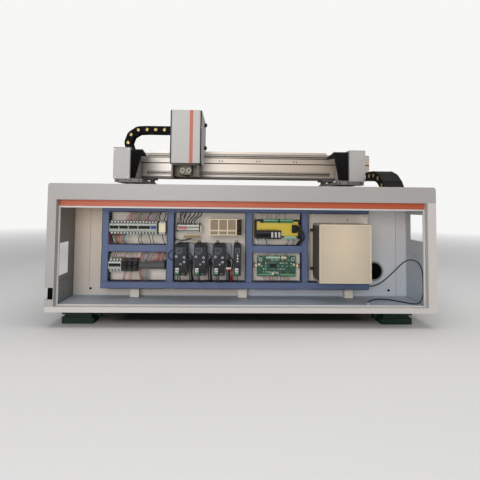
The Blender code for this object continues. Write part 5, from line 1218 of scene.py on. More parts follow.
def drains():
    """Dark drain holes low in the cabinet's rear wall, and a black plate of painted shade over the
    channel's end in the notch.
    """
    made = Details("drains")
    # Painted shade: black plate over the channel's end in the notch.
    made.box("vent_shade", (-1.0355, -1.0035), (0.0046, 0.0058), (0.1515, 0.2110), 0.0002)
    for x, z in ((-0.900, 0.154), (0.894, 0.150)):
        made.fitting("disc", "vent_shade", (x, 0.2896, z), 0.0150, 0.0012)
    made.build()


def computer():
    """Perforated side in painted shade, thumb screws, flange and lid screws of the steel computer case."""
    made = Details("computer")
    left, right, low, high = COMPUTER
    lid, rim = (0.0484, 0.0496), 0.002
    for z in (low + 0.060, high - 0.040):
        made.turned("black_screw", ((0, -0.0195), (0.0070, -0.0195), (0.0078, -0.0180), (0.0078, 0.008),
            (0.0072, 0.010), (0.0045, 0.010), (0.0045, 0.020), (0, 0.020)), (left - 0.0150, 0.200, z), "X")
    made.box("pale_grey_plastic", (left - 0.0185, left - 0.0006), (0.2308, 0.2344),
        (low + 0.0596, high - 0.0496), 0.0004)
    made.box("white_plastic", (left - 0.0150, left - 0.0020), (0.2140, 0.2300), (low + 0.006, low + 0.022),
        0.001)
    # Painted shade: the perforated side drawn as a dark sheet, dotted with the case's own steel.
    made.box("vent_shade", (left - 0.0008, left), (0.060, 0.232), (low + 0.012, high - 0.012), 0.0002)
    for row in range(33):
        for column in range(18):
            place = (left - 0.0008, 0.068 + column * 0.0092, low + 0.018 + row * 0.0090)
            made.fitting("disc", "computer_case", place, 0.0046, 0.0006, LEFT_FACING)
    for x in (left + 0.010, right - 0.010):
        for z in (low + 0.010, (low + high) / 2, high - 0.010):
            made.fitting("screw", "zinc_steel", (x, 0.0488, z), 0.0066, 0.0020, (0, 0.5, 0))
    for x in ((left + rim, left + 0.0048), (right - 0.0062, right - rim)):
        made.box("supply_case", x, lid, (low + rim, high - rim), 0.0003)
    for z in ((high - 0.0050, high - rim), (low + rim, low + 0.0045)):
        made.box("supply_case", (left + rim, right - rim), lid, z, 0.0003)
    for z, size in ((0.5765, 0.0072), (0.5715, 0.0044)):
        made.fitting("disc", "vent_shade", (0.628, PANEL_FRONT, z), size, 0.0008)
    for x in (-0.820, 0.738):
        for z in (0.232, 0.600):
            made.fitting("socket_bolt", "zinc_steel", (x, PANEL_FRONT - 0.001, z), 0.0105, 0.0050)
    made.build()


def cabinet_walls():
    """Seams, holes and the cable hole's rim in the cabinet's tray."""
    made = Details("cabinet_walls")
    hole, wall, rear = 0.0500, 1.0050, (0.2892, 0.2900)
    made.turned("pale_grey_plastic", ((hole, -0.0034), (0.0570, -0.0034), (0.0600, -0.0012), (0.0600, 0.0),
        (hole, 0.0), (hole, -0.0034)), CABLE_HOLE, "Y", 40)
    # Painted shade: a dark disc fills the cable hole.
    made.turned("vent_shade", ((0, -0.0008), (hole, -0.0008), (hole, 0.0), (0, 0.0)), CABLE_HOLE, "Y", 40)
    made.box("vent_shade", (-wall - 0.0002, -wall + 0.0006), (0.050, 0.285), (0.2334, 0.2346), 0.0001)
    for depth, z in ((0.120, 0.205), (0.150, 0.165), (0.150, 0.150)):
        made.fitting("disc", "vent_shade", (-wall, depth, z), 0.008, 0.0008, RIGHT_FACING)
    made.fitting("disc", "vent_shade", (wall, 0.16, 0.375), 0.008, 0.0008, LEFT_FACING)
    made.box("vent_shade", (0.9390, 0.9400), rear, (0.120, 0.650), 0.0001)
    made.box("vent_shade", (-0.9100, -0.9090), rear, (0.170, 0.650), 0.0001)
    for x in (-0.97, 0.97):
        for z in (0.20, 0.40, 0.60):
            made.fitting("screw", "zinc_steel", (x, 0.2896, z), 0.009, 0.003, (0, 0.6, 0))
    made.build()


# Cabinet wiring


def strand(chance, top, foot, bulge=0.03, sway=0.006):
    """A wire from a duct to a terminal: out through a slot, forward in a bow, and in again."""
    (x, depth, z), (end_x, end_depth, end_z) = top, foot
    drop = end_z - z
    swing = sway * (2 * chance.random() - 1)
    front = min(depth, end_depth) - bulge * (0.5 + 0.5 * chance.random())
    spots = [(x, depth, z), (x + 0.1 * swing, depth - 0.35 * (depth - front), z + 0.10 * drop),
        (x + 0.35 * (end_x - x) + swing, front, z + 0.42 * drop),
        (end_x + 0.3 * swing, front + 0.25 * (end_depth - front), z + 0.82 * drop),
        (end_x, end_depth, end_z)]
    return smooth_route([(a, at(b), c) for a, b, c in spots], 0.004)


class Harness:
    """Wires gathered by colour and thickness, built as one piece for each."""

    def __init__(self, name, body="bed"):
        self.name = name
        self.body = body
        self.runs = {}

    def add(self, colour, radius, route):
        self.runs.setdefault((colour, radius), []).append(route)

    def run(self, colour, radius, *spots):
        self.add(colour, radius, smooth_route([(x, at(depth), z) for x, depth, z in spots], 0.005))

    def build(self):
        for number, ((colour, radius), routes) in enumerate(self.runs.items()):
            name = "cable_sheath" if colour == "black" else "wire_" + colour
            wires(f"{self.name}_{number}_{colour}", routes, radius, name, self.body, 7)


def row_wiring():
    """Wires between the ducts and both rows of breakers, contactors and terminals."""
    made = Harness("row_wires")
    sleeves = Details("ferrules")
    chance = random.Random(11)
    pitch = (BREAKERS[1] - BREAKERS[0]) / UPPER_POLES
    upper = ("", "", "", "", "", "red", "dark_red", "green", "red", "green", "grey", "red", "blue", "grey",
        "black")
    for pole, colour in enumerate(upper):
        for share, second in ((-0.28, colour), (0.22, "pink" if colour == "grey" else colour)):
            if not colour:
                continue
            x = BREAKERS[0] + (pole + 0.5 + share) * pitch
            top = (x + 0.016 + 0.006 * chance.random(), IN_DUCT, TOP_ENTRY)
            made.add(second, 0.0017, strand(chance, top, (x, SHOULDER + 0.004, BREAKERS[3] - 0.002), 0.026))
            sleeves.repeat("block", "red_plastic", (x, SHOULDER - 0.0005, BREAKERS[3] + 0.0015),
                (0.0036, 0.0036, 0.0075))
    lower = ("red", "black", "green", "red", "pink", "teal")
    for pole in range(12):
        for share in (-0.28, 0.0, 0.28):
            x = BREAKERS[0] + (pole + 0.5 + share) * pitch
            if pole < 5:
                colour = lower[(pole + int(3 * share + 1)) % len(lower)]
                foot = (x + 0.004, IN_DUCT, SHELF_TOP_ENTRY)
                made.add(colour, 0.0018, strand(chance, foot, (x, SHOULDER + 0.002, BREAKERS[2] + 0.002),
                    0.030, 0.008))
                sleeves.repeat("block", "red_plastic", (x, SHOULDER - 0.0005, BREAKERS[2] - 0.003),
                    (0.0034, 0.0036, 0.0085))
            elif share == 0.0 and pole % 2:
                made.add("white", 0.0014, strand(chance, (x - 0.005, 0.210, SHELF_TOP_ENTRY),
                    (x, SHOULDER + 0.006, BREAKERS[2]), 0.01))
    for pole in (9.6, 10.2, 12.4, 13.8):
        x = BREAKERS[0] + pole * pitch
        made.add("black", 0.0021, strand(chance, (x + 0.006, IN_DUCT, SHELF_TOP_ENTRY),
            (x, SHOULDER + 0.002, BREAKERS[2] + 0.003), 0.045, 0.012))
    for x in (RELAY[0] + 0.008, RELAY[1] - 0.008):
        made.add("black", 0.0023, strand(chance, (x + 0.004, IN_DUCT, TOP_ENTRY),
            (x, 0.172, BREAKERS[3] - 0.002), 0.035, 0.010))
    made.run("black", 0.0023, (RELAY[0] + 0.020, 0.172, BREAKERS[2] + 0.004),
        (RELAY[0] + 0.026, 0.150, 0.465), (RELAY[1] - 0.004, 0.150, 0.445),
        (RELAY[1] - 0.008, 0.195, SHELF_TOP_ENTRY))
    row_two(made, sleeves, chance)
    made.build()
    sleeves.build()


def row_two(made, sleeves, chance):
    """Wires above and below the contactors and the terminal strip."""
    pitch = (LOWER_BREAKER[1] - LOWER_BREAKER[0]) / LOWER_POLES
    for pole in range(LOWER_POLES):
        x = LOWER_BREAKER[0] + (pole + 0.5) * pitch
        made.add(("grey", "black", "red", "grey")[pole], 0.0019,
            strand(chance, (x + 0.004, IN_DUCT, SHELF_FOOT_ENTRY),
            (x, SHOULDER + 0.003, LOWER_BREAKER[3] - 0.002), 0.022))
        sleeves.repeat("block", "white_plastic", (x, SHOULDER - 0.001, LOWER_BREAKER[3] + 0.004),
            (0.0044, 0.0044, 0.0110))
    for number in range(5):
        x = CONTACTORS[0] + 0.010 + number * 0.017
        made.add(("pink", "red", "grey", "red", "pink")[number], 0.0017,
            strand(chance, (x + 0.004, IN_DUCT, SHELF_FOOT_ENTRY), (x, 0.172, LOWER_BREAKER[3] - 0.006),
            0.026))
    hues = ("red", "red", "pink", "grey", "black", "grey", "blue", "grey", "pink", "grey", "red", "pink",
        "grey", "red", "red", "pink", "dark_red", "red", "red", "pink", "red", "dark_red")
    for number, colour in enumerate(hues):
        x = TERMINALS[0] + 0.004 + number * 0.0064
        top = (x + 0.010 + 0.008 * chance.random(), 0.205, SHELF_FOOT_ENTRY)
        made.add(colour, 0.0016, strand(chance, top, (x, 0.186, TERMINALS[3] - 0.003), 0.030, 0.010))
        sleeves.repeat("block", "white_plastic", (x, 0.1800, TERMINALS[3] + 0.003),
            (0.0030, 0.0032, 0.0070))
    for x, colour in ((-0.668, "red"), (-0.660, "dark_red"), (-0.640, "pink"), (-0.632, "red")):
        made.add(colour, 0.0019, strand(chance, (x - 0.004, IN_DUCT, BOTTOM_ENTRY),
            (x, 0.172, LOWER_BREAKER[2] + 0.006), 0.030))
    for x, colour in ((-0.590, "red"), (-0.584, "red"), (-0.577, "dark_red")):
        made.add(colour, 0.0018, strand(chance, (x + 0.006, IN_DUCT, BOTTOM_ENTRY),
            (x, 0.184, TERMINALS[2] + 0.004), 0.022))
    for number in range(6):
        x = -0.572 + number * 0.0045
        made.add("grey", 0.0020, strand(chance, (x + 0.001, IN_DUCT, BOTTOM_ENTRY),
            (x, 0.184, TERMINALS[2] + 0.004), 0.018, 0.001))


def middle_wiring():
    """Cables of the terminal block, earth bar, supply and drives."""
    made = Harness("middle_wires")
    high = TERMINAL_BLOCK[3]
    for x, away in ((-0.352, -0.010), (-0.338, 0.006), (-0.322, 0.016), (-0.306, 0.024), (-0.292, 0.032),
            (-0.276, 0.034)):
        made.run("black", 0.0033, (x, SHOULDER + 0.004, high - 0.012), (x - 0.004, 0.150, high + 0.008),
            (x + 0.3 * away, 0.140, high + 0.028), (x + away, 0.165, high + 0.048),
            (x + away + 0.002, 0.205, TOP_DUCT[0] + 0.004))
    for x, colour in ((-0.365, "dark_red"), (-0.358, "black"), (-0.345, "blue")):
        made.run(colour, 0.0020, (x, SHOULDER + 0.004, high - 0.012), (x - 0.010, 0.155, high + 0.010),
            (x + 0.002, 0.150, high + 0.035), (x + 0.016, IN_DUCT, TOP_DUCT[0] + 0.004))
    made.run("black", 0.0034, (UPRIGHTS[1] + 0.020, 0.200, 0.462), (UPRIGHTS[1] + 0.040, 0.178, 0.456),
        (-0.350, 0.172, 0.452), (-0.318, 0.176, 0.456), (-0.300, 0.188, 0.463))
    made.run("yellow_green", 0.0022, (-0.298, 0.190, 0.464), (-0.290, 0.180, 0.452), (-0.262, 0.190, 0.447),
        (-0.245, 0.225, 0.440))
    for drive_left, drive_right in DRIVES[:3]:
        edge = drive_right - 0.004
        for offset, out in ((0.0, 0.018), (0.008, 0.026), (0.016, 0.012)):
            x = edge + offset
            made.run("black", 0.0034, (edge - 0.012, DRIVE_FRONT + 0.010, 0.350 - offset),
                (x + 0.004, DRIVE_FRONT + 0.004, 0.356), (x + out, DRIVE_FRONT + 0.030, 0.334),
                (x + out - 0.004, 0.110, 0.285), (x + out - 0.002, 0.165, 0.240),
                (x + out - 0.004, 0.195, BOTTOM_ENTRY))
        made.run("black", 0.0030, (edge - 0.010, DRIVE_FRONT + 0.008, 0.380),
            (edge + 0.012, DRIVE_FRONT + 0.002, 0.392), (edge + 0.030, 0.100, 0.368),
            (edge + 0.022, 0.140, 0.330), (edge + 0.028, 0.190, 0.290))
        x = (drive_left + drive_right) / 2
        made.run("black", 0.0022, (x - 0.012, DRIVE_FRONT + 0.010, DRIVE_BOTTOM + 0.008),
            (x - 0.006, DRIVE_FRONT + 0.012, 0.238), (x + 0.004, 0.120, 0.226),
            (x + 0.012, 0.190, BOTTOM_DUCT[1]))
        made.run("black", 0.0026, (x - 0.004, DRIVE_FRONT + 0.014, DRIVE_BOTTOM + 0.008),
            (x, DRIVE_FRONT + 0.014, 0.240), (x + 0.016, 0.140, 0.228), (x + 0.020, 0.190, BOTTOM_DUCT[1]))
        made.run("black", 0.0026, (x - 0.018, DRIVE_FRONT + 0.014, DRIVE_BOTTOM + 0.008),
            (x - 0.014, DRIVE_FRONT + 0.016, 0.232), (x - 0.006, 0.150, 0.222),
            (x + 0.002, 0.190, BOTTOM_DUCT[1]))
    first = DRIVES[0][0]
    made.run("black", 0.0028, (first + 0.004, DRIVE_FRONT + 0.004, 0.412),
        (first - 0.018, DRIVE_FRONT + 0.010, 0.404), (first - 0.040, 0.110, 0.380),
        (first - 0.034, 0.120, 0.356), (first - 0.006, DRIVE_FRONT + 0.016, 0.348))
    slim = DRIVES[3][0]
    made.run("black", 0.0032, (slim - 0.045, DRIVE_FRONT + 0.010, 0.352),
        (slim - 0.022, DRIVE_FRONT + 0.006, 0.366), (slim - 0.006, DRIVE_FRONT + 0.012, 0.352),
        (slim - 0.010, 0.110, 0.300), (slim - 0.012, 0.170, 0.245), (slim - 0.010, 0.195, BOTTOM_DUCT[1]))
    for offset, colour in ((0.0, "red"), (0.005, "dark_red"), (0.010, "red")):
        made.run(colour, 0.0022, (slim - 0.022, DRIVE_FRONT + 0.022, 0.302 - offset),
            (slim - 0.012, DRIVE_FRONT + 0.020, 0.288), (slim - 0.016 + offset, 0.120, 0.250),
            (slim - 0.020 + offset, 0.190, BOTTOM_DUCT[1]))
    made.run("black", 0.0026, (slim + 0.016, DRIVE_FRONT + 0.014, DRIVE_BOTTOM + 0.008),
        (slim + 0.022, DRIVE_FRONT + 0.030, 0.240), (slim + 0.010, 0.160, 0.226),
        (slim + 0.004, 0.195, BOTTOM_DUCT[1]))
    made.build()
    plug = Details("servo_plug")
    plug.box("red_plastic", (slim - 0.046, slim - 0.022), (DRIVE_FRONT + 0.010, DRIVE_FRONT + 0.026),
        (0.298, 0.304), 0.001)
    plug.box("white_plastic", (slim - 0.044, slim - 0.016), (DRIVE_FRONT + 0.012, DRIVE_FRONT + 0.028),
        (0.304, 0.311), 0.001)
    plug.build()


def right_wiring():
    """Cables of the controller and the interface board."""
    made = Harness("right_wires")
    left, right, low, high = CONTROLLER
    made.run("black", 0.0048, (right - 0.030, 0.172, low + 0.070), (right - 0.010, 0.150, low + 0.070),
        (right + 0.012, 0.146, low + 0.042), (right + 0.020, 0.150, low + 0.010),
        (right + 0.008, 0.160, low - 0.012), (right - 0.006, 0.190, low - 0.030))
    made.run("black", 0.0048, (right - 0.032, 0.172, low + 0.052), (right - 0.014, 0.150, low + 0.050),
        (right + 0.002, 0.148, low + 0.026), (right + 0.004, 0.156, low),
        (right - 0.010, 0.178, low - 0.022), (right - 0.014, 0.200, SHELF[1] + 0.002))
    for start in (0.004, 0.018, 0.034, 0.052):
        x = left + start
        made.run("white", 0.0030, (x, 0.180, low + 0.004), (x + 0.002, 0.168, low - 0.012),
            (x + 0.010, 0.180, low - 0.030), (x + 0.012, 0.198, SHELF_TOP_ENTRY))
    for number, colour in enumerate(("black", "white", "black", "white", "grey", "black", "white")):
        x = left + 0.018 + number * 0.009
        made.run(colour, 0.0016, (x, 0.176, low + 0.002), (x + 0.002, 0.166, low - 0.010),
            (x + 0.006, 0.180, low - 0.026), (x + 0.004, IN_DUCT, SHELF_TOP_ENTRY))
    for number in range(8):
        x = right - 0.086 + number * 0.0085
        made.run(("white", "grey", "black", "white")[number % 4], 0.0014, (x, 0.176, low + 0.002),
            (x + 0.003, 0.166, low - 0.012), (x - 0.002, 0.182, low - 0.028),
            (x - 0.001, 0.202, SHELF_TOP_ENTRY))
    for number in range(9):
        x = left + 0.036 + number * 0.017
        made.run(("grey", "white", "black")[number % 3], 0.0014, (x, 0.178, high - 0.002),
            (x + 0.002, 0.165, high + 0.008), (x + 0.005, 0.185, high + 0.022),
            (x + 0.004, 0.205, TOP_DUCT[0] + 0.004))
    left, right, low, high = IO_BOARD
    chance = random.Random(23)
    for number in range(15):
        x = left + 0.034 + number * 0.0115
        colour = ("red", "blue", "white", "black", "red", "green")[number % 6]
        made.add(colour, 0.0014, strand(chance, (x + 0.004, 0.210, BOTTOM_ENTRY), (x, 0.203, low + 0.008),
            0.022))
    for number in range(12):
        x = left + 0.036 + number * 0.0135
        colour = ("white", "grey", "black", "white")[number % 4]
        made.add(colour, 0.0013, strand(chance, (x + 0.003, 0.210, SHELF_FOOT_ENTRY),
            (x, 0.203, high - 0.008), 0.018))
    made.run("black", 0.0038, (COMPUTER[0] + 0.20, 0.150, COMPUTER[2] + 0.002),
        (COMPUTER[0] + 0.21, 0.150, COMPUTER[2] - 0.014),
        (COMPUTER[0] + 0.215, 0.185, BOTTOM_DUCT[1] - 0.004))
    made.build()


def cabinet_wiring():
    """All wires and cables that are fixed in the cabinet."""
    row_wiring()
    middle_wiring()
    right_wiring()


# Gantry and bed

BEAM_FRONT, BEAM_BACK = 1.200, 1.380
BEAM_BOTTOM, BEAM_TOP = 0.873, 1.077
X_RAILS = (0.917, 1.055)
RAIL_REACH = 0.752
HOUSING = (0.796, 0.914)
HOUSING_FRONT, HOUSING_BOTTOM, HOUSING_TOP = 0.770, 0.838, 1.065
BED_TOP = 0.766
CARRIAGE_X = -0.4065
COVER = (-0.514, -0.284)
COVER_BOTTOM, COVER_TOP = 0.957, 1.344
KNOB_RADIUS, LENS_Z = 0.0148, 0.910
BELLOWS_START, PLEATS, FOLD, CLOTH = 0.7955, 9, 0.009, 0.003
Y_RAIL_X, RAIL_BOLT_PITCH = 0.790, 0.060
MODULE = 0.0025
TOOTH_PITCH = math.pi * MODULE
RACK_X, RACK_HALF = 0.842, 0.011
X_RACK_BACK = 1.236
X_PITCH, X_RADIUS, X_CHAIN_TOP = 0.0755, 0.119, 1.303
X_BEND, X_FIXED, X_MOVING = -0.840, 0.040, -0.420
X_CHAIN_FRONT, X_CHAIN_WIDTH = 1.386, 0.100
Y_PITCH, Y_RADIUS, Y_CHAIN_TOP = 0.0872, 0.290, 0.873
Y_BEND, Y_FIXED, Y_MOVING = 0.647, 1.900, 0.780
Y_CHAIN_LEFT, Y_CHAIN_WIDTH = 0.9145, 0.130
LINK_HEIGHT, LINK_WALL, LINK_CORNER, LINK_STEP = 0.064, 0.009, 35, 0.0012
OUTER_BAR, INNER_BAR, BAR_THICKNESS = 1.05, 0.33, 0.006


def racks():
    """Teeth and bolts of the three racks, in mesh with their pinions at rest."""
    tooth, tooth_length = 2.25 * MODULE, TOOTH_PITCH * 0.98
    made = Details("y_racks")
    for side, turn in ((1, (0, 0, 0)), (-1, (0, 0, math.pi))):
        for number in range(-60, 349):
            place = (side * (RACK_X + RACK_HALF), 1.00 + number * TOOTH_PITCH, BED_TOP + 0.0103)
            made.repeat("tooth", "bright_steel", place, (tooth, tooth_length, 0.0198), turn)
    for number in range(54):
        depth = 0.55 + number * RAIL_BOLT_PITCH
        for side in (-1, 1):
            made.fitting("socket_bolt", "black_screw", (side * Y_RAIL_X, depth, BED_TOP + 0.0229), 0.0095,
                0.0010, TOP_FACING)
            if number % 2:
                made.fitting("socket_bolt", "black_screw", (side * RACK_X, depth, BED_TOP + 0.0206), 0.0090,
                    0.0012, TOP_FACING)
    made.build()
    made = Details("x_rack", "gantry")
    for number in range(-40, 144):
        place = (CARRIAGE_X + number * TOOTH_PITCH, X_RACK_BACK, BEAM_TOP + 0.0100)
        made.repeat("tooth", "bright_steel", place, (tooth, tooth_length, 0.0190), (0, 0, math.pi / 2))
    made.build()


def beam_details():
    """Ground X rails with their bolts, painted highlights and shadows along the rails, slot lines and end
    plates of the gantry beam.
    """
    made = Details("beam", "gantry")
    whole, skin = (-0.795, 1.0846), BEAM_FRONT - 0.0006
    for z in X_RAILS:
        front, back = at(BEAM_FRONT - 0.0184), at(BEAM_FRONT - 0.0005)
        outline = [(back, z - 0.0102), (front + 0.006, z - 0.0102), (front + 0.004, z - 0.0072),
            (front, z - 0.0072), (front, z + 0.0072), (front + 0.004, z + 0.0072),
            (front + 0.006, z + 0.0102), (back, z + 0.0102)]
        made.prism("rail_steel", outline, "X", -RAIL_REACH, RAIL_REACH, 0.0006)
        # Painted highlight along the upper front of each rail.
        made.box("pale_grey_plastic", (-RAIL_REACH, RAIL_REACH), (BEAM_FRONT - 0.0188, BEAM_FRONT - 0.0180),
            (z + 0.0040, z + 0.0068), 0.0002)
        # Painted shadows: dark bands under and over each rail.
        for low, high in ((z - 0.0150, z - 0.0104), (z + 0.0104, z + 0.0140)):
            made.box("vent_shade", (-RAIL_REACH, RAIL_REACH), (skin, BEAM_FRONT + 0.002), (low, high),
                0.0002)
        for number in range(25):
            place = (-0.72 + number * RAIL_BOLT_PITCH, BEAM_FRONT - 0.0188, z - 0.0006)
            made.fitting("socket_bolt", "black_screw", place, 0.0085, 0.0012)
    for x in (-0.150, 0.158, 0.466):
        for half in (-0.0115, 0.0115):
            made.fitting("disc", "vent_shade", (x + half, BEAM_FRONT + 0.0002, 1.017), 0.0104, 0.0012)
    made.box("vent_shade", whole, (BEAM_FRONT + 0.0010, BEAM_FRONT + 0.0030), (0.9935, 1.0005), 0.0002)
    made.box("rail_steel", (-0.795, 0.795), (BEAM_FRONT - 0.0004, BEAM_FRONT + 0.004), (0.8728, 0.8790),
        0.0006)
    for z in ((0.8800, 0.8890), (1.0706, 1.0774)):
        made.box("pale_grey_plastic", whole, (skin, BEAM_FRONT + 0.002), z, 0.0006)
    for x, out in ((-1.0304, -1), (1.0854, 1)):
        made.box("beam_aluminium", (x - 0.0004, x + 0.0004), (BEAM_FRONT, BEAM_BACK),
            (BEAM_BOTTOM, BEAM_TOP), 0.0002)
        for depth in (BEAM_FRONT + 0.020, BEAM_BACK - 0.020):
            for z in (BEAM_BOTTOM + 0.022, BEAM_TOP - 0.022):
                made.fitting("socket_bolt", "black_screw", (x + out * 0.002, depth, z), 0.014, 0.005,
                    SIDE_FACING[out])
    for number in range(12):
        made.fitting("socket_bolt", "black_screw", (-0.70 + number * 0.125, 1.225, BEAM_TOP + 0.0206),
            0.009, 0.0012, TOP_FACING)
    made.build()


def pleat_outline(reach):
    """Distances from the machine's middle and depths of fold, out along a pleated sheet and back."""
    step = (BELLOWS_START - reach) / PLEATS
    outline = [(BELLOWS_START, FOLD)]
    for pleat in range(PLEATS):
        outline += [(BELLOWS_START - (pleat + 0.5) * step, 0.0), (BELLOWS_START - (pleat + 1) * step, FOLD)]
    return outline + [(BELLOWS_START - PLEATS * step, FOLD + CLOTH), (BELLOWS_START, FOLD + CLOTH)]


def bellows_pleats():
    """Pleated front sheet and roof of both bellows, each narrower at its far edge."""
    made = Details("bellows", "gantry")
    low, high, front, back = 0.8452, 1.0568, 0.7884, 1.176
    for side, top_reach, low_reach, roof_end in ((-1, 0.707, 0.762, 0.752), (1, 0.684, 0.722, 0.722)):
        levels = ((low, low_reach), ((low + high) / 2, (top_reach + low_reach) / 2),
            (high - 0.003, top_reach))
        made.loft("bellows_cloth", [[(side * away, front + fold, z)
            for away, fold in pleat_outline(reach)] for z, reach in levels])
        stations = ((front + 0.004, top_reach), ((front + back) / 2, (top_reach + roof_end) / 2),
            (back, roof_end))
        made.loft("bellows_cloth", [[(side * away, depth, high - fold)
            for away, fold in pleat_outline(reach)] for depth, reach in stations])
    made.replace("bellows_left", "bellows_right")
    made.build()


def housings_and_saddles():
    """Screws and seams of the end housings, bolts and grease points of the saddles."""
    made = Details("housings", "gantry")
    bolt = (0.0085, 0.0035, 0.0085)
    levels = (HOUSING_BOTTOM + 0.014, HOUSING_TOP - 0.018)
    for side in (-1, 1):
        low, high = sorted((side * HOUSING[0], side * HOUSING[1]))
        made.box("body_paint", (low - SKIN, high + SKIN), (HOUSING_FRONT - 0.0006, 1.176),
            (HOUSING_TOP - 0.0030, HOUSING_TOP + 0.0004), 0.0003)
        made.box("vent_shade", (low + 0.001, high - 0.001), (HOUSING_FRONT - 0.0003, HOUSING_FRONT + 0.001),
            (HOUSING_TOP - 0.0036, HOUSING_TOP - 0.0030), 0.0001)
        for x in (low + 0.012, high - 0.012):
            for z in levels:
                made.repeat("socket_bolt", "zinc_steel", (x, HOUSING_FRONT - 0.001, z), bolt)
        for depth in (0.80, 0.96, 1.12):
            for z in levels:
                made.repeat("socket_bolt", "zinc_steel", (side * (HOUSING[1] + 0.001), depth, z), bolt,
                    SIDE_FACING[side])
        for x in (0.728, 0.790, 0.880):
            made.fitting("socket_bolt", "black_screw", (side * x, 0.7795, 0.8262), 0.0110, 0.0040)
        for x in (0.736, 0.764):
            for depth in (1.20, 1.30, 1.42):
                made.fitting("socket_bolt", "black_screw", (side * x, depth, 0.8395), 0.0125, 0.0060,
                    TOP_FACING)
        middle, seal = side * Y_RAIL_X, (BED_TOP + 0.025, BED_TOP + 0.046)
        for depth in (0.800, 1.340):
            for near, far in ((depth - 0.004, depth), (depth + 0.080, depth + 0.084)):
                made.box("black_screw", (middle - 0.0235, middle + 0.0235), (near, far), seal, 0.001)
            made.fitting("pin", "earth_brass", (middle, depth - 0.006, BED_TOP + 0.036), 0.0060, 0.0090)
    made.build()


def carriage_details():
    """Screws and hand knobs of the head cover, bolts of the carriage, and the head's rings."""
    cover_details()
    plate = Details("carriage_plate", "carriage")
    left, right = CARRIAGE_X - 0.1015, CARRIAGE_X + 0.1015
    for x in (left + 0.006, right - 0.006):
        for z in (0.885, 0.925, 1.020):
            plate.fitting("socket_bolt", "black_screw", (x, 0.8385, z), 0.0080, 0.0040)
    for x in (left + 0.018, left + 0.054, right - 0.054, right - 0.018):
        for z in (0.903, 0.931):
            plate.fitting("socket_bolt", "black_screw", (x, 1.1340, z), 0.0085, 0.0040)
    for x in (left + 0.0035, right - 0.0035):
        plate.repeat("block", "black_screw", (x, 0.8420, 0.9615), (0.006, 0.004, 0.020))
    plate.build()
    head_details()


def cover_details():
    """Screws, vent slots and the two knurled hand knobs of the head cover."""
    made = Details("cover", "carriage")
    for depth, z in ((1.120, 1.298), (1.120, 1.112)):
        made.turned("black_screw", ((0, -0.0120), (0.0080, -0.0120), (KNOB_RADIUS, -0.0080),
            (KNOB_RADIUS, 0.0112), (0.0120, 0.0122), (0, 0.0122)), (COVER[1] + 0.0098, depth, z), "X")
        for number in range(12):
            angle = 2 * math.pi * number / 12
            place = (COVER[1] + 0.0105, depth + KNOB_RADIUS * math.cos(angle),
                z + KNOB_RADIUS * math.sin(angle))
            made.repeat("block", "black_screw", place, (0.0160, 0.0016, 0.0016), (-angle, 0, 0))
    for x, turn in ((COVER[0] - 0.0004, LEFT_FACING), (COVER[1] + 0.0004, RIGHT_FACING)):
        for depth in (0.800, 1.000, 1.240):
            for z in (COVER_TOP - 0.016, 1.130 if depth > 1.1 else COVER_BOTTOM + 0.016):
                made.fitting("screw", "zinc_steel", (x, depth, z), 0.0080, 0.0024, turn)
    for depth in (0.955, 1.200):
        made.box("vent_shade", (COVER[0] + 0.002, COVER[1] - 0.002), (depth, depth + 0.0010),
            (COVER_TOP - 0.0004, COVER_TOP + 0.0004), 0.0001)
    made.build()


def head_details():
    """Two lens rings with their glass and bolts, the nozzle's ring and the seam of the cutting head."""
    head = Details("head", "z_axis_slide")
    for side in (-1, 1):
        x = CARRIAGE_X + side * 0.024
        head.turned("head_aluminium", ((0.0112, -0.0014), (0.0182, -0.0014), (0.0188, 0.0),
            (0.0188, 0.0090), (0.0112, 0.0090), (0.0112, -0.0014)), (x, 0.872, LENS_Z), "Y", 28)
        head.turned("lens_glass", ((0, 0.0022), (0.0080, 0.0026), (0.0110, 0.0036), (0.0110, 0.0056),
            (0, 0.0056)), (x, 0.872, LENS_Z), "Y", 24)
        for number in range(4):
            angle = math.pi * (number + 0.5) / 2
            place = (x + 0.0150 * math.cos(angle), 0.8700, LENS_Z + 0.0150 * math.sin(angle))
            head.fitting("socket_bolt", "black_screw", place, 0.0036, 0.0020)
        for z in (0.886, 0.944):
            head.fitting("socket_bolt", "black_screw", (CARRIAGE_X + side * 0.0385, 0.8850, z), 0.0060,
                0.0040)
            head.fitting("socket_bolt", "black_screw", (CARRIAGE_X + side * 0.0700, 0.9390, z), 0.0080,
                0.0040)
    head.turned("black_screw", ((0, -0.006), (0.0204, -0.006), (0.0208, -0.004), (0.0208, 0.004),
        (0.0204, 0.006), (0, 0.006)), (CARRIAGE_X, 0.9215, 0.8785), "Z", 28)
    head.box("vent_shade", (CARRIAGE_X - 0.0455, CARRIAGE_X + 0.0455), (0.8856, 0.8866), (0.9395, 0.9405),
        0.0001)
    head.build()


def loop_pins(moving, bend, fixed, top, radius, pitch):
    """Pin places of a chain with the distance run: upper run, half turn, lower run."""
    upper, turn = abs(moving - bend), math.pi * radius
    forward = 1 if moving > bend else -1
    pins = []
    for number in range(int((upper + turn + abs(fixed - bend)) / pitch) + 1):
        run = number * pitch
        if run <= upper:
            spot = (moving - forward * run, top)
        elif run <= upper + turn:
            angle = (run - upper) / radius
            spot = (bend - forward * radius * math.sin(angle), top - radius + radius * math.cos(angle))
        else:
            spot = (bend + forward * (run - upper - turn), top - 2 * radius)
        pins.append(spot)
    return pins, upper + turn


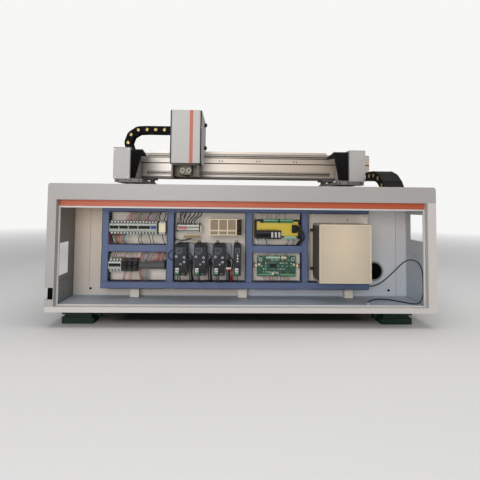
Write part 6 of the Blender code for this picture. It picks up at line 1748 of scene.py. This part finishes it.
def link_outline(a, b, height):
    """Eight-cornered side plate of one link, its corners on circles round its two pins."""
    heading = math.atan2(b.y - a.y, b.x - a.x)
    corners = []
    for middle, turns in ((b, (-90, -LINK_CORNER, LINK_CORNER, 90)),
            (a, (90, 180 - LINK_CORNER, 180 + LINK_CORNER, 270))):
        for turn in turns:
            angle = heading + math.radians(turn)
            corners.append((middle.x + height / 2 * math.cos(angle),
                middle.y + height / 2 * math.sin(angle)))
    return corners


def chain_links(made, pins, numbers, axis, start, width, inner_first):
    """Side plates, raised ribs, lids, bars and brass pins of some of a chain's links."""
    end, rib = start + width, 0.0006
    square = ((-1, -1), (1, -1), (1, 1), (-1, 1))
    for number in numbers:
        a, b = Vector(pins[number]), Vector(pins[number + 1])
        inset = LINK_STEP * ((number + 1) % 2)
        plate = link_outline(a, b, LINK_HEIGHT)
        made.prism("chain_plastic", plate, axis, start + inset, start + LINK_WALL, 0.0012)
        made.prism("chain_plastic", plate, axis, end - LINK_WALL, end - inset, 0.0012)
        length, along, middle = (b - a).length, (b - a).normalized(), (a + b) / 2
        up = Vector((-along.y, along.x))
        inside = [tuple(middle + along * i * length * 0.26 + up * j * LINK_HEIGHT * 0.20)
            for i, j in square]
        made.prism("chain_plastic", inside, axis, start + inset - rib, start + LINK_WALL, 0.0005)
        made.prism("chain_plastic", inside, axis, end - LINK_WALL, end - inset + rib, 0.0005)
        for side in (-1, 1):
            outer = side == (1 if inner_first else -1)
            if not outer and number % 2:
                continue
            centre = middle + up * side * (LINK_HEIGHT / 2 - BAR_THICKNESS * 0.7)
            reach = length * (OUTER_BAR if outer else INNER_BAR) / 2
            corners = [tuple(centre + along * i * reach + up * j * BAR_THICKNESS / 2) for i, j in square]
            made.prism("chain_plastic", corners, axis, start + LINK_WALL / 2, end - LINK_WALL / 2, 0.0008)
        for spot in (a, b):
            for face, out in ((start, -1), (end, 1)):
                face += out * rib
                if axis == "Y":
                    place, turn = (spot.x, face - FRONT, spot.y), FRONT_FACING if out < 0 else REAR_FACING
                else:
                    place, turn = (face, spot.x - FRONT, spot.y), SIDE_FACING[out]
                made.fitting("pin", "pin_brass", place, 0.0290, 0.0050, turn)


def drag_chain(name, node, run, radius, pitch, side, mover):
    """One drag chain: upper run and loop move with the carrier, the lower run stays fixed where it lies."""
    moving, bend, fixed, top = run
    pins, loop = loop_pins(moving, bend, fixed, top, radius, pitch)
    split = next(number for number in range(len(pins) - 1) if number * pitch >= loop)
    inner_first = (Vector(pins[-1]) - Vector(pins[0])).cross(Vector(pins[1]) - Vector(pins[0])) > 0
    upper, lower = Details(name + "_loop", mover), Details(name + "_run", None)
    chain_links(upper, pins, range(split), *side, inner_first)
    chain_links(lower, pins, range(split, len(pins) - 1), *side, inner_first)
    upper.replace(node)
    upper.build()
    for made in lower.build():
        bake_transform(made)


def drag_chains():
    """The chain of the carriage behind the beam and the chain of the gantry beside the bed."""
    drag_chain("x_chain", "x_drag_chain", (X_MOVING, X_BEND, X_FIXED, X_CHAIN_TOP), X_RADIUS, X_PITCH,
        ("Y", at(X_CHAIN_FRONT), X_CHAIN_WIDTH), "carriage")
    drag_chain("y_chain", "y_drag_chain", (at(Y_MOVING), at(Y_BEND), at(Y_FIXED), Y_CHAIN_TOP), Y_RADIUS,
        Y_PITCH, ("X", Y_CHAIN_LEFT, Y_CHAIN_WIDTH), "gantry")


SIDE_FACE, REAR_FACE, LOUVRE_PITCH = 1.0504, 3.800, 0.022


def sheet_covers():
    """Screws, louvres and cable glands of the side and rear panels."""
    made = Details("sheet_covers")
    screw = (0.0110, 0.0030, 0.0110)
    for side, turn in ((-1, LEFT_FACING), (1, RIGHT_FACING)):
        x = side * SIDE_FACE
        for number in range(10):
            for z in (0.238 if side < 0 else 0.172, 0.748):
                made.repeat("screw", "zinc_steel", (x, 0.42 + number * 0.365, z), screw, turn)
        for group in (1.05, 2.70):
            for z in [0.470 + number * LOUVRE_PITCH for number in range(9)]:
                made.recess((x - side * 0.0002, group, z), (0.0010, 0.180, 0.0060))
                made.repeat("block", "body_paint", (x + side * 0.0010, group, z + 0.0055),
                    (0.0050, 0.190, 0.0050), (0, side * 0.5, 0))
        made.box("vent_shade", tuple(sorted((x, x - side * 0.0006))), (1.85, 1.8512),
            (0.215 if side < 0 else 0.152, 0.764), 0.0001)
    for number in range(9):
        for z in (0.172, 0.748):
            made.repeat("screw", "zinc_steel", (-1.0 + number * 0.25, REAR_FACE + 0.0004, z), screw,
                REAR_FACING)
    for middle in (-0.55, 0.55):
        for z in [0.380 + number * LOUVRE_PITCH for number in range(12)]:
            made.recess((middle, REAR_FACE + 0.0002, z), (0.260, 0.0010, 0.0060))
            made.repeat("block", "body_paint", (middle, REAR_FACE + 0.0008, z + 0.0055),
                (0.270, 0.0040, 0.0050), (0.5, 0, 0))
    for x in (-0.10, 0.0, 0.10):
        made.turned("black_toggle", ((0, -0.001), (0.019, -0.001), (0.019, 0.003), (0.014, 0.006),
            (0, 0.006)), (x, REAR_FACE, 0.240), "Y", 20)
    made.build()


# The cabinet's loose cable


def cabinet_cord():
    """Network cable that leaves the bottom duct, loops up and lies on the cabinet floor."""
    path = smooth_route([(x, at(depth), z) for x, depth, z in CABLE_ROUTE], 0.008)
    cable = wires("network_cable", [path], CABLE_DIAMETER / 2, "cable_sheath", sides=12)
    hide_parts("cabinet_cable")


# Camera, light and floor

LAMPS = (
    ("ceiling_lamp", (0.0, -1.6, 5.2), (0, 0, 0.4), 5.5, 165),
    ("front_lamp", (-1.2, -6.5, 1.5), (0, -1, 0.45), 3.0, 112),
    ("side_lamp", (5.5, -2.5, 2.8), (0, 0, 0.5), 3.0, 45),
)
BACKDROP, FLOOR_GREY = (0.93, 0.93, 0.92, 1), (0.74, 0.73, 0.71, 1)


def camera_and_light():
    """The photograph's camera and the lamps of the hall."""
    camera = bpy.data.cameras.new("camera")
    camera.sensor_width = 36
    camera.lens = FOCAL_PIXELS / PICTURE * camera.sensor_width
    camera.shift_y = (PRINCIPAL_ROW - PICTURE / 2) / PICTURE
    obj = bpy.data.objects.new("camera", camera)
    turn = (Matrix.Rotation(-CAMERA_YAW, 4, "Z") @ Matrix.Rotation(math.pi / 2 + CAMERA_PITCH, 4, "X")
        @ Matrix.Rotation(CAMERA_ROLL, 4, "Z"))
    obj.matrix_world = Matrix.Translation(CAMERA_PLACE) @ turn
    bpy.context.scene.collection.objects.link(obj)
    bpy.context.scene.camera = obj
    for name, place, aim, width, power in LAMPS:
        lamp = bpy.data.lights.new(name, "AREA")
        lamp.shape = "DISK"
        lamp.size = width
        lamp.energy = power
        holder = bpy.data.objects.new(name, lamp)
        facing = (Vector(aim) - Vector(place)).to_track_quat("-Z", "Y")
        holder.matrix_world = Matrix.Translation(place) @ facing.to_matrix().to_4x4()
        bpy.context.scene.collection.objects.link(holder)


def world_and_floor():
    """Soft sky light behind a pale backdrop, and the floor that fades into it."""
    world = bpy.data.worlds.new("studio")
    world.use_nodes = True
    bpy.context.scene.world = world
    w = Wiring(world.node_tree)
    background = world.node_tree.nodes["Background"]
    background.inputs["Color"].default_value = (0.92, 0.94, 1.0, 1)
    background.inputs["Strength"].default_value = 0.31
    shown = w.add("ShaderNodeBackground", {"Color": BACKDROP, "Strength": 1.0})
    path = w.add("ShaderNodeLightPath").outputs
    seen = w.maths("MAXIMUM", path["Is Camera Ray"], path["Is Transmission Ray"])
    mixed = w.add("ShaderNodeMixShader", {0: seen, 1: background.outputs[0], 2: shown.outputs[0]})
    w.feed(world.node_tree.nodes["World Output"].inputs["Surface"], mixed.outputs[0])
    bm = bmesh.new()
    bmesh.ops.create_grid(bm, x_segments=1, y_segments=1, size=30)
    floor = piece("floor", bm, None, None)
    floor.data.materials.append(floor_material())


def floor_material():
    """Pale floor with a painted shadow under the machine, faded into the backdrop far away."""
    material = bpy.data.materials.new("pale_floor")
    material.use_nodes = True
    shader = material.node_tree.nodes["Principled BSDF"]
    shader.inputs["Roughness"].default_value = 0.65
    w = Wiring(material.node_tree)
    place = w.axes()
    across = w.product(w.maths("SUBTRACT", 0.98, w.maths("ABSOLUTE", place[0])), 3.2, clamp=True)
    along = w.product(w.maths("SUBTRACT", 1.82, w.maths("ABSOLUTE", place[1])), 9.0, clamp=True)
    w.feed(shader.inputs["Base Color"], w.mix(w.product(across, along), FLOOR_GREY,
        (0.035, 0.035, 0.035, 1)))
    far = w.ramp(w.vectors("LENGTH", w.place())["Value"], 2.5, 0.16)
    rays = w.add("ShaderNodeLightPath").outputs
    shown_to = w.maths("MAXIMUM", rays["Is Camera Ray"], rays["Is Glossy Ray"])
    glow = w.add("ShaderNodeEmission", {"Color": BACKDROP, "Strength": 1.0})
    faded = w.add("ShaderNodeMixShader", {0: w.product(far, shown_to), 1: shader.outputs[0],
        2: glow.outputs[0]})
    w.feed(material.node_tree.nodes["Material Output"].inputs["Surface"], faded.outputs[0])
    return material


bpy.context.scene.view_settings.view_transform = "Standard"
camera_and_light()
cabinet_cord()
world_and_floor()
dress_nodes()
duct_slots()
duct_lid_gap_shade()
upper_row()
toggles()
lower_row()
cabinet_wiring()
terminals_and_supply()
drives()
controller_and_board()
computer()
cabinet_walls()
drains()
racks()
bellows_pleats()
beam_details()
housings_and_saddles()
carriage_details()
drag_chains()
sheet_covers()
